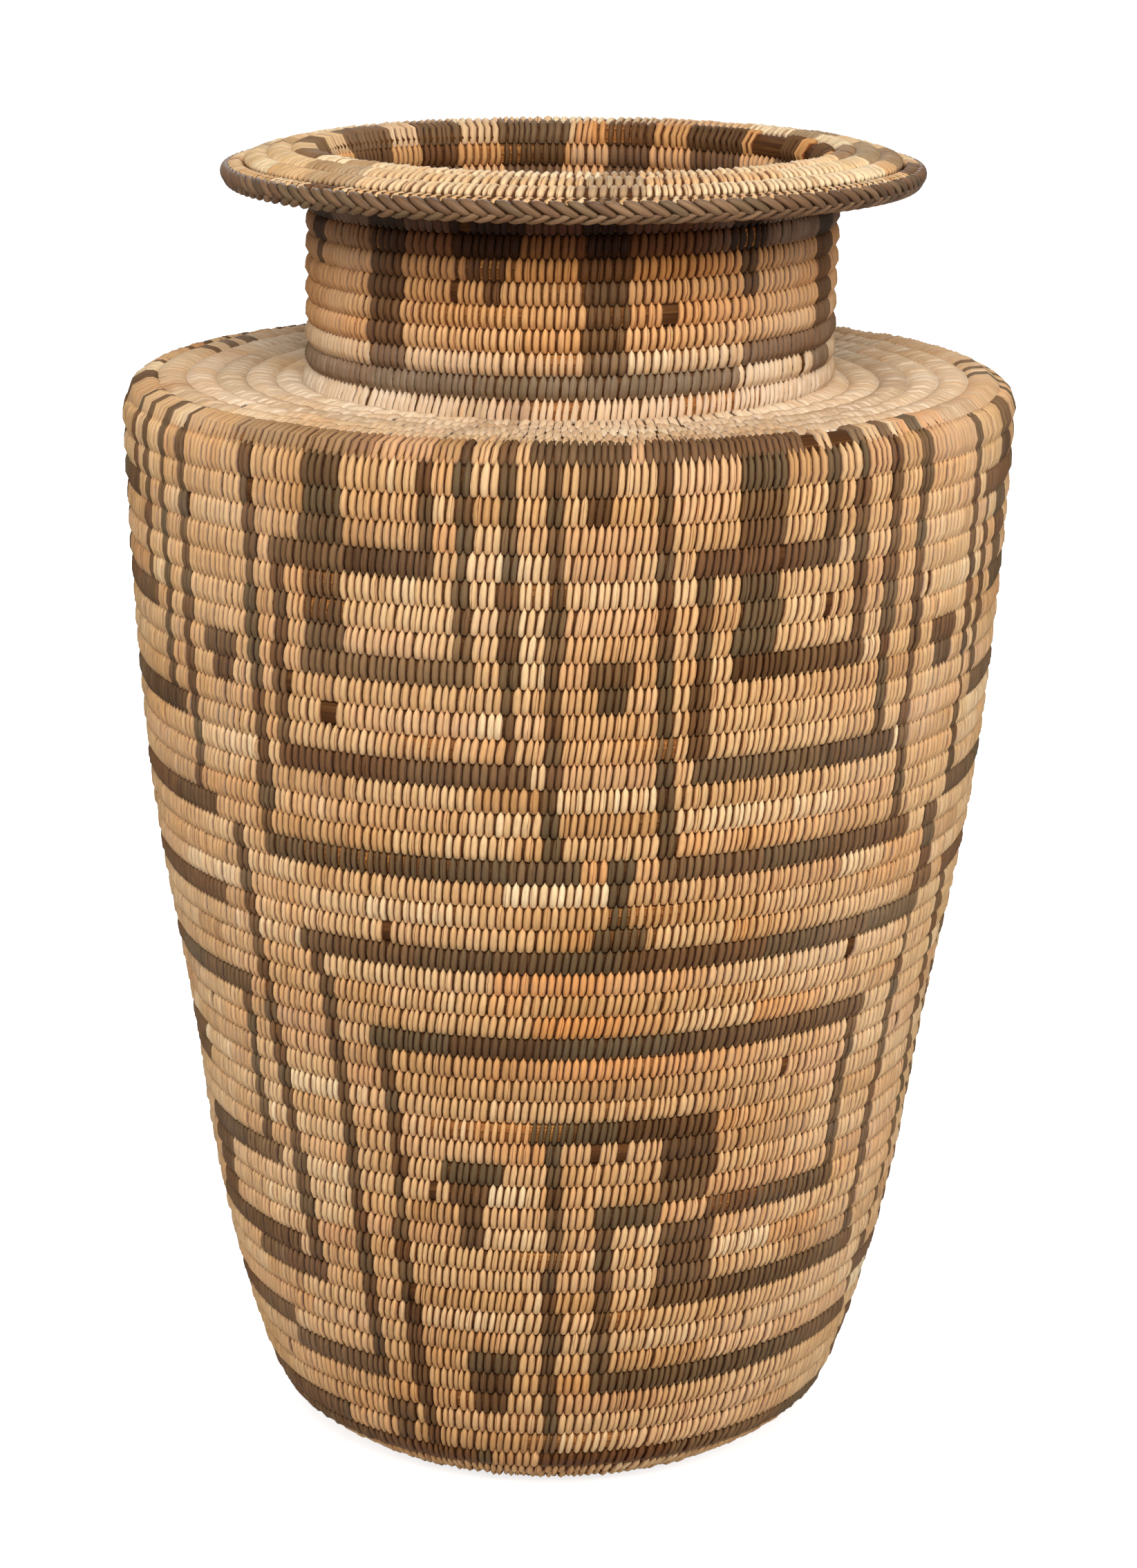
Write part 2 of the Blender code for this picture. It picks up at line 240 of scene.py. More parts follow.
    def reach(self, turn: float) -> float:
        """How far along the meridian the coil's lower side is.

        Args:
            turn: Turns of the coil from its start.

        Returns:
            The distance in metres.
        """
        if turn <= self.firsts[0]:
            return self.marks[0]
        zone = next((k for k, first in enumerate(self.firsts[1:]) if turn < first), len(self.counts) - 1)
        low, high, count = self.marks[zone], self.marks[zone + 1], self.counts[zone]
        share = (turn - self.firsts[zone]) / count
        if zone == 1:
            share = (share + self.swell * ((2 * share - 1) ** 3 + 1) / 6) / (1 + self.swell / 3)
        if zone == len(self.counts) - 1:
            past = turn - self.firsts[zone]
            whole = math.floor(past)
            part = past - whole
            near = min(part, 1 - part) / self.shift_share
            eased = 0.5 * (3 * near**2 - 2 * near**3) if near < 1 else 0.5
            share = min((whole + (eased if part < 0.5 else 1 - eased)) / (count + 0.5), 1)
        return low + share * (high - low)

    def along(self, turn: np.ndarray) -> np.ndarray:
        """The same as reach, for many turns at once."""
        return np.interp(turn, self.turn_table, self.along_table)

    def place(self, along: np.ndarray, offset: np.ndarray) -> tuple[np.ndarray, np.ndarray]:
        """Finds points beside the meridian.

        Args:
            along: Distances along it.
            offset: Distances from it, towards the outer side.

        Returns:
            Radii and heights.
        """
        gap = self.thickness / 4
        low, high = np.maximum(along - gap, 0), np.minimum(along + gap, self.length[-1])
        at, before, after = (
            [np.interp(v, self.length, self.points[:, k]) for k in (0, 1)] for v in (along, low, high))
        way = np.array([after[0] - before[0], after[1] - before[1]])
        way /= np.maximum(np.linalg.norm(way, axis=0), 1e-9)
        return at[0] + offset * way[1], np.maximum(at[1] - offset * way[0], 0.0002)

    def radius(self, turn: np.ndarray) -> np.ndarray:
        """The coil's own radius about the jar's axis, at the middle of its row."""
        middle = (self.along(turn) + self.along(np.asarray(turn) + 1)) / 2
        return np.interp(middle, self.length, self.points[:, 0])

    def ring(self) -> tuple[float, float, float]:
        """The rim coil's radius, its height and the way the flange droops there, in radians."""
        end, before = self.points[-1], self.points[-2]
        way = (end - before) / np.linalg.norm(end - before)
        centre = end + way * (self.rim_thickness / 2 + self.seat_gap / 2)
        return float(centre[0]), float(centre[1]), math.atan2(way[1], way[0])


def on_ring(turn: np.ndarray, radius: np.ndarray, height: np.ndarray, seam: float) -> np.ndarray:
    """Puts points round the jar, which leans a little to one side.

    Args:
        turn: Places round it in turns.
        radius, height: Their radii and heights.
        seam: Where turn 0 lies, in radians.

    Returns:
        Points as x, y and z.
    """
    angle = TURN * turn + seam
    aside = LEAN_ASIDE * (height - LEAN_LEVEL)
    return np.stack([radius * np.cos(angle) + aside, radius * np.sin(angle), height], axis=-1)


@dataclass(frozen=True)
class Patch:
    """Dark stitches over some rows, between two bearings that may drift from the first row to the last."""

    rows: tuple[int, int]
    span: tuple[float, float]
    drift: float = 0.0

    def covers(self, row: int, bearing: float, slack: float) -> bool:
        """Tells whether a stitch is in the patch.

        Args:
            row: Row number, counted down.
            bearing: Degrees to the right of the figure's own middle.
            slack: Degrees by which the patch is widened on each side.
        """
        first, last = self.rows
        if not first <= row <= last:
            return False
        moved = self.drift * (row - first) / max(last - first, 1)
        margin = self.margin(slack)
        return self.span[0] + moved - margin <= bearing <= self.span[1] + moved + margin

    def margin(self, slack: float) -> float:
        """How far the patch reaches past its bearings, in degrees."""
        return slack


@dataclass(frozen=True)
class Line(Patch):
    """A patch that is a fixed number of stitches wide, about one bearing."""

    stitches: float = 2.0

    def margin(self, slack: float) -> float:
        """Half the line's width, where slack is half a stitch in degrees."""
        return slack * self.stitches


@dataclass(frozen=True)
class Figure:
    """One figure of the ornament, at a bearing, with the rows counted down from a boundary of the coil."""

    bearing: float
    top: int
    patches: tuple[Patch, ...]
    scale: float = 1.0
    strength: float = 1.0

    def covers(self, turn: float, slack: float) -> bool:
        """Tells whether a stitch at a turn is dark.

        Args:
            turn: The stitch's place on the coil.
            slack: Half a stitch, in degrees.
        """
        from_front = 360 * (turn - FRONT) - self.bearing
        boundary = math.floor(from_front / 360 + 0.5)
        offset = (from_front - 360 * boundary) / self.scale
        row = self.top - boundary
        return any(patch.covers(row, offset, slack) for patch in self.patches)


def bar(row: int, first: float, last: float) -> Patch:
    """A bar one row high, between two bearings."""
    return Patch((row, row), (first, last))


def line(rows: tuple[int, int], bearing: float, drift: float = 0.0, stitches: float = 2.0) -> Line:
    """A line of stitches that climbs over some rows."""
    return Line(rows, (bearing, bearing), drift, stitches)


@dataclass
class Ornament:
    """The stepped fret: seven figures under the shoulder, four large ones below, columns up the neck."""

    top_bearings: tuple[float, ...] = (-31.0, 23.5, 74.0, 124.0, 174.5, 225.0, 275.0)
    top_lifts: tuple[int, ...] = (0, 0, 1, 1, 1, 0, 0)
    column_bearings: tuple[float, ...] = (-42.5, 7.0, 69.5, 119.0, 166.5, 214.0, 264.0)
    drop_bearings: tuple[float, ...] = (-18.0, 39.5, 95.0, 143.0, 190.0, 238.0, 290.0)
    wall_top: int = 56
    neck_top: int = 70
    figures: list[Figure] = field(default_factory=list)

    def __post_init__(self) -> None:
        """Lays out all the figures."""
        bearings = list(self.top_bearings) + [self.top_bearings[0] + 360]
        for here, following, lift in zip(bearings, bearings[1:], self.top_lifts):
            self.figures.append(self.top_figure(here, following - here, lift))
        self.figures += [self.front_figure(11.0, 0, 1.0), self.front_figure(115.0, 1, 1.0),
                         self.front_figure(193.0, 1, 0.8), self.side_figure(271.0)]
        self.figures += [self.neck_column(b) for b in self.column_bearings]
        self.figures += [self.neck_drop(b) for b in self.drop_bearings]
        self.figures += [self.flange_patch(b) for b in self.column_bearings]
        self.figures.append(Figure(0.0, self.wall_top, (
            bar(45, -180, -13), bar(45, -1, 180), bar(44, -81, -44),
            bar(43, -32, -28), bar(44, -31.5, -28), bar(1, -4, -2),
            bar(1, 0, 6.5), bar(1, 10, 29), bar(2, 1.8, 5), bar(3, 3, 4.8),
            Patch((42, 44), (73, 84)), bar(39, 69, 84))))
        self.figures.append(Figure(0.0, self.neck_top, (
            bar(8, -180, -17), bar(8, -15, 37), bar(7, 40, 180),
            bar(9, -21, -18), bar(9, -12, -9))))
        self.figures.append(Figure(0.0, self.neck_top, (
            bar(12, -180, -24), bar(12, 30, 180), line((10, 13), -17),
            line((10, 12), -10.5, -1.0, 1.0), line((12, 13), 37.5, 0, 1), line((12, 13), 43, 0, 1),
            line((12, 13), 49.5, 0, 1), line((12, 13), 56, 0, 1)), strength=0.4))
        self.figures.append(Figure(0.0, self.wall_top, (bar(1, -46, -25),), strength=0.6))

    def top_figure(self, bearing: float, pitch: float, lift: int) -> Figure:
        """A figure of the upper band, whose bars run on to the next figure."""
        return Figure(bearing, self.wall_top + lift, (
            Patch((2 + lift, 8), (-2.4, 2.4)), bar(5, -8, pitch - 40), bar(9, -3, pitch - 35),
            bar(13, -7, pitch - 28), bar(17, -11, pitch - 22),
            line((2 + lift, 17), -12, 1.5), line((6, 12), -7), line((2 + lift, 5), pitch - 40.5),
            line((1 + lift, 9), pitch - 36), line((1 + lift, 13), pitch - 30.5),
            line((1 + lift, 17), pitch - 25), bar(9 + lift, -20.5, -15.5),
            bar(10 + lift, -19.5, -16.3)))

    def front_figure(self, bearing: float, lift: int, scale: float) -> Figure:
        """A large figure of the lower band."""
        return Figure(bearing, self.wall_top + lift, (
            bar(21, -48, 48), bar(25, -38, 38), bar(29, -14, 13),
            bar(33, 13, 36), bar(33, -4, 5), bar(37, 5, 48),
            bar(41, -4, 55), line((21, 33), -46.2, 2.7), line((34, 41), -43.4, self.foot_drift(lift)),
            line((25, 45), -36.2, 1.5), line((29, 45), -11.7), line((25, 33), 36.5), line((21, 37), 47, -1),
            line((33, 41), -3.5), Patch((29, 32), (5, 12.5)), Patch((34, 37), (6, 13.5)),
            line((17, 19), -3.5, 0, 3), line((17, 19), 48, 0, 3), bar(20, -6, 0),
            bar(20, 46.5, 51), bar(31, -28.5, -20), bar(32, -27, -21.5),
            Patch((33, 34), (-25.5, -22.8)), bar(40, -25.5, -18), bar(41, -25, -19.5),
            bar(42, -24, -20.5)), scale)

    @staticmethod
    def foot_drift(lift: int) -> float:
        """How far a large figure's left line drifts at its foot: it bends back on all but the front one."""
        return -6.0 if lift else 0.6

    def side_figure(self, bearing: float) -> Figure:
        """The large figure on the left, which was made narrower."""
        return Figure(bearing, self.wall_top, (
            bar(21, -48, 36), bar(25, -38, 38), Patch((29, 30), (-14, 19)),
            bar(33, 23, 40), bar(33, -5, 5), bar(37, 13, 42),
            bar(38, 30, 47), bar(41, -4, 36), bar(42, 36, 58),
            line((21, 41), -46.5, 3), line((25, 45), -36.5, 1.5), line((29, 45), -12),
            line((25, 33), 37), line((18, 38), 41, 5), line((33, 41), -3.5), Patch((33, 36), (16, 23)),
            line((17, 19), -3.5, 0, 3), bar(20, -7, 0),
            Patch((31, 32), (-29, -19)), Patch((33, 34), (-25.5, -22.5)), bar(40, -27, -18),
            bar(41, -25.5, -19.5), bar(42, -24.5, -20.5)))

    def neck_column(self, bearing: float) -> Figure:
        """A dark column from the foot of the neck up to the lip."""
        return Figure(bearing, self.neck_top, (Patch((1, 8), (-3.8, 3.8)), bar(0, -5, 5)))

    def neck_drop(self, bearing: float) -> Figure:
        """A dark drop that hangs from the lip between two columns."""
        wide = 6.5 if bearing != 39.5 else 3.5
        return Figure(bearing, self.neck_top, (
            bar(0, -wide - 1, wide + 1), Patch((1, 2), (-wide, wide)),
            bar(3, -wide / 2, wide / 2), line((4, 4), 1)))

    def flange_patch(self, bearing: float) -> Figure:
        """A stepped patch on top of the flange."""
        spans = {
            -42.5: ((-8.5, -1.9), (-13.8, 0.9), (-7.9, 3.8)),
            7.0: ((-0.5, 5.2), (-4.6, 5.9), (-5.1, 5.2)),
            69.5: ((0.0, 20.0), (2.5, 28.0), (6.5, 26.5)),
        }.get(bearing, ((-6.0, 4.0), (-7.0, 6.0), (-4.0, 9.0)))
        faint = {7.0: 0.6, 69.5: 0.8, -42.5: 0.5, 119.0: 0.8}.get(bearing, 0.3)
        return Figure(bearing, self.neck_top, tuple(
            Patch((-k - 1, -k - 1), span) for k, span in enumerate(spans)), strength=faint)

    def dark(self, turn: float, stitch: float) -> float:
        """How dark a splint a stitch is sewn with.

        Args:
            turn: The stitch's place on the coil.
            stitch: Its width, in degrees round the jar.

        Returns:
            From 0 for a pale splint to 1 for a fully dyed one.
        """
        return max((f.strength for f in self.figures if f.covers(turn, stitch / 2)), default=0.0)


def deselect() -> None:
    """Leaves nothing selected, so that an operator works on its own new object alone."""
    for thing in list(bpy.context.selected_objects):
        thing.select_set(False)


def read_points(mesh: bpy.types.Mesh) -> np.ndarray:
    """The mesh's points, as rows of x, y and z."""
    points = np.empty(3 * len(mesh.vertices))
    mesh.vertices.foreach_get("co", points)
    return points.reshape(-1, 3)


def add_values(mesh: bpy.types.Mesh, name: str, values: np.ndarray) -> None:
    """Stores a colour or a vector for each point.

    Args:
        mesh: The mesh.
        name: The attribute's name, which the finishes read.
        values: One row for each point, of four numbers for a colour and of three for a vector.
    """
    kind, channel = ("FLOAT_COLOR", "color") if values.shape[-1] == 4 else ("FLOAT_VECTOR", "vector")
    mesh.attributes.new(name, kind, "POINT").data.foreach_set(channel, values.ravel())


def place_in_scene(name: str, data: bpy.types.ID) -> bpy.types.Object:
    """Makes an object of a mesh, a lamp or a camera, at the origin."""
    thing = bpy.data.objects.new(name, data)
    bpy.context.scene.collection.objects.link(thing)
    return thing


@dataclass(frozen=True)
class Form:
    """A modelled form that has been read, to be copied along the coil."""

    points: np.ndarray
    corners: np.ndarray
    sizes: np.ndarray


@dataclass
class StitchForm:
    """One stitch as it shows on a side of the coil: rounded below, pointed above, its edges pulled in.

    The form is one unit wide and as high as its row. Depths are in metres.
    """

    across: tuple[float, ...] = (-0.5, -0.41, 0.0, 0.41, 0.5)
    drawn_in: tuple[float, ...] = (-0.0012, -0.00036, 0.00024, -0.00040, -0.0012)
    up: tuple[float, ...] = (-0.05, 0.03, 0.40, 0.77, 0.94, 1.10)
    widths: tuple[float, ...] = (0.74, 0.98, 1.00, 0.97, 0.66, 0.08)
    sunk: tuple[float, ...] = (-0.0005, -0.0001, 0.0, 0.0, 0.00005, -0.0001)
    uneven_by: tuple[float, float] = (0.055, 0.012)  # shares of its width and of its height

    def model(self, seed: int) -> Form:
        """Models the stitch in edit mode.

        Args:
            seed: Which unevenness its corners get.

        Returns:
            The form, read from the mesh.
        """
        deselect()
        columns, rows = len(self.across), len(self.up)
        bpy.ops.mesh.primitive_grid_add(x_subdivisions=columns - 1, y_subdivisions=rows - 1, size=1)
        stitch = bpy.context.object
        start = read_points(stitch.data)
        column = np.rint((start[:, 0] + 0.5) * (columns - 1)).astype(int)
        row = np.rint((start[:, 1] + 0.5) * (rows - 1)).astype(int)
        for k in range(columns):
            pick_vertices(stitch, column == k)
            step = self.across[k] - (k / (columns - 1) - 0.5)
            bpy.ops.transform.translate(value=(step, 0, self.drawn_in[k]))
            bpy.ops.object.mode_set(mode="OBJECT")
        for k in range(rows):
            pick_vertices(stitch, row == k)
            bpy.ops.transform.resize(value=(self.widths[k], 1, 1), center_override=(0, 0, 0))
            step = self.up[k] - (k / (rows - 1) - 0.5)
            bpy.ops.transform.translate(value=(0, step, self.sunk[k]))
            bpy.ops.object.mode_set(mode="OBJECT")
        if seed:
            uneven = np.random.default_rng(seed).uniform(-1, 1, (rows, 2))
            for k in range(1, rows):
                pick_vertices(stitch, row == k)
                bpy.ops.transform.translate(value=(*(uneven[k] * self.uneven_by), 0))
                bpy.ops.object.mode_set(mode="OBJECT")
        rim = (column == 0) | (column == columns - 1) | (row == 0) | (row == rows - 1)
        pick_vertices(stitch, rim)
        bpy.ops.mesh.edge_face_add()
        bpy.ops.object.mode_set(mode="OBJECT")
        form = read_form(stitch)
        bpy.data.objects.remove(stitch, do_unlink=True)
        return form


def pick_vertices(thing: bpy.types.Object, chosen: np.ndarray) -> None:
    """Selects some vertices, with the edges and faces between them, and enters edit mode.

    Args:
        thing: The mesh object.
        chosen: One flag for each vertex.
    """
    mesh = thing.data
    bpy.context.view_layer.objects.active = thing
    bpy.ops.object.mode_set(mode="EDIT")
    bpy.ops.mesh.select_mode(type="VERT")
    bpy.ops.mesh.select_all(action="DESELECT")
    bpy.ops.object.mode_set(mode="OBJECT")
    mesh.vertices.foreach_set("select", chosen.astype(bool))
    bpy.ops.object.mode_set(mode="EDIT")


def read_form(thing: bpy.types.Object) -> Form:
    """Reads a mesh as arrays.

    Args:
        thing: The mesh object.

    Returns:
        Its points, the corners of its faces one after another, and how many each face has.
    """
    mesh = thing.data
    corners = np.empty(len(mesh.loops), dtype=np.int64)
    sizes = np.empty(len(mesh.polygons), dtype=np.int64)
    mesh.loops.foreach_get("vertex_index", corners)
    mesh.polygons.foreach_get("loop_total", sizes)
    return Form(read_points(mesh), corners, sizes)


@dataclass
class Copies:
    """Many copies of a form in one mesh, each with its own tone and its own place on the bake map."""

    points: list[np.ndarray] = field(default_factory=list)
    corners: list[np.ndarray] = field(default_factory=list)
    sizes: list[np.ndarray] = field(default_factory=list)
    tones: list[np.ndarray] = field(default_factory=list)
    places: list[np.ndarray] = field(default_factory=list)
    maps: list[np.ndarray] = field(default_factory=list)
    cells: list[int] = field(default_factory=list)
    count: int = 0

    def add(self, form: Form, points: np.ndarray, tones: np.ndarray, seeds: np.ndarray, flip: bool) -> None:
        """Adds copies of a form.

        Args:
            form: The form that was copied.
            points: Its points in each copy, as copies by points by three.
            tones: Each copy's four tone values.
            seeds: Each copy's own number.
            flip: True where the copies are a mirror image.
        """
        copies, number = points.shape[:2]
        if not copies:
            return
        order = np.arange(len(form.corners))
        if flip:
            starts = np.concatenate([[0], np.cumsum(form.sizes)])
            order = np.concatenate([np.arange(b - 1, a - 1, -1) for a, b in zip(starts, starts[1:])])
        corners = form.corners[order]
        shift = self.count + number * np.arange(copies)[:, None]
        self.points.append(points.reshape(-1, 3))
        self.corners.append((corners[None, :] + shift).ravel())
        self.sizes.append(np.tile(form.sizes, copies))
        self.tones.append(np.repeat(tones, number, axis=0))
        flat = np.tile(form.points[None, :, :2], (copies, 1, 1))
        own = np.repeat(seeds[:, None], number, axis=1)[:, :, None]
        self.places.append(np.concatenate([flat, own], axis=2).reshape(-1, 3))
        low, high = form.points[:, :2].min(axis=0), form.points[:, :2].max(axis=0)
        spot = (form.points[:, :2] - low) / (high - low)
        spot = (spot * CELL_FACE[1] + CELL_FACE[0])[corners]
        under = np.repeat(form.sizes > 4, form.sizes)[order]
        spot[under] = spot[under] * CELL_BACK[1] + CELL_BACK[0]
        self.maps.append(np.tile(spot[None], (copies, 1, 1)))
        self.cells.append(copies)
        self.count += copies * number

    def unwrap(self) -> np.ndarray:
        """Gives each copy a cell of its own on the bake map.

        Returns:
            The map's coordinates for every corner.
        """
        total = sum(self.cells)
        wide = max(1, math.ceil(math.sqrt(total * CELL_HEIGHT)))
        high = math.ceil(total / wide)
        out, cell = [], 0
        for spots, copies in zip(self.maps, self.cells):
            index = cell + np.arange(copies)
            corner = np.stack([index % wide, index // wide], axis=1)[:, None, :]
            out.append(((spots + corner) / (wide, high)).reshape(-1, 2))
            cell += copies
        return np.concatenate(out)

    def build(self, name: str, material: bpy.types.Material) -> bpy.types.Object:
        """Makes the mesh object.

        Args:
            name: Its name.
            material: Its finish.

        Returns:
            The object, at the origin.
        """
        mesh = bpy.data.meshes.new(name)
        points, corners = np.concatenate(self.points), np.concatenate(self.corners)
        sizes = np.concatenate(self.sizes)
        mesh.vertices.add(len(points))
        mesh.vertices.foreach_set("co", points.ravel())
        mesh.loops.add(len(corners))
        mesh.loops.foreach_set("vertex_index", corners.astype(np.int32))
        mesh.polygons.add(len(sizes))
        starts = np.concatenate([[0], np.cumsum(sizes)[:-1]])
        mesh.polygons.foreach_set("loop_start", starts.astype(np.int32))
        mesh.polygons.foreach_set("use_smooth", sizes <= 4)
        mesh.update(calc_edges=True)
        add_values(mesh, "splint", np.concatenate(self.tones))
        add_values(mesh, "place", np.concatenate(self.places))
        mesh.uv_layers.new(name="OFBake").data.foreach_set("uv", self.unwrap().ravel())
        mesh.materials.append(material)
        mesh.validate()
        return place_in_scene(name, mesh)


@dataclass(frozen=True)
class Mark:
    """A soft-edged place where the weather has changed the splints."""

    row: float
    bearing: float
    rows: float
    degrees: float
    tone: float = 0.0
    gold: float = 0.0
    dust: float = 0.0


@dataclass(frozen=True)
class Weather:
    """Brown stains, yellowed stitches and bleached places, painted shade on the upper sides of the wall and
    paler sides, partly dust and partly a painted reflection, by row and by bearing from the front.
    """

    # Paler, greyer sides from a bearing on: partly dust, partly a painted reflection of the pale
    # surroundings at grazing angles.
    side_dust_and_painted_reflection: float = 0.22
    paling_from: float = 25.0  # degrees from the front
    paling_over: float = 35.0
    flange_row: float = -12.9  # rows above this are on the flange
    marks_made: tuple[Mark, ...] = (
        Mark(4, -27, 3.5, 13, tone=-0.24, gold=0.2),
        Mark(25, 3, 5, 5, tone=-0.20, gold=0.35),
        Mark(40, -35, 4, 14, tone=-0.20),
        Mark(27, 0, 1.5, 26, tone=-0.14),
        Mark(42, 0, 1.6, 32, tone=-0.16),
        Mark(24, 6, 9, 24, tone=-0.16, gold=0.34),
        # Painted shade: the upper sides of the wall, left and right of the front, darkened where less light
        # falls on them.
        Mark(9, -60, 12, 24, tone=-0.17),
        Mark(9, 60, 11, 24, tone=-0.15),
        Mark(9, -18, 5, 14, tone=0.20, dust=0.14),
        Mark(20, -18, 1.8, 10, tone=0.20, dust=0.1),
        Mark(22.5, 40, 2, 20, tone=0.16, dust=0.1),
        Mark(34.5, 34, 2, 20, tone=0.16, dust=0.1),
        Mark(-13.5, 178, 0.6, 5, gold=1.2),
        Mark(1.5, 47.7, 0.4, 2.2, tone=0.2, gold=1.6),
        Mark(1.5, 53.5, 0.4, 1.9, tone=0.2, gold=1.6),
        Mark(1.5, 14, 0.5, 10, tone=-0.3),
        Mark(1.5, -20, 0.5, 7, tone=-0.5, gold=-0.5))

    def marks(self, turn: np.ndarray) -> tuple[np.ndarray, np.ndarray, np.ndarray]:
        """Adds up the weather's marks on each stitch, with the painted shade and the painted reflection.

        Args:
            turn: The stitches' places on the coil.

        Returns:
            What is added to their tone, to their yellow and to their dust, the tone with the painted shade
            and the dust with the painted reflection at the sides.
        """
        bearing = 360 * (turn - FRONT)
        boundary = np.floor(bearing / 360 + 0.5)
        row, bearing = 56.5 - boundary, bearing - 360 * boundary
        total = np.zeros((3, len(turn)))
        aside = np.clip((np.abs(bearing) - self.paling_from) / self.paling_over, 0, 1)
        total[2] = self.side_dust_and_painted_reflection * aside * (row > self.flange_row)
        for mark in self.marks_made:
            down, across = (row - mark.row) / mark.rows, (bearing - mark.bearing) / mark.degrees
            share = np.exp(-down ** 2 - across ** 2)
            total += share * np.array([[mark.tone], [mark.gold], [mark.dust]])
        return total[0], total[1], total[2]


@dataclass(frozen=True)
class Stretch:
    """A stretch of the coil that stands for one CAD node."""

    node: str
    slot: str
    first: float
    last: float


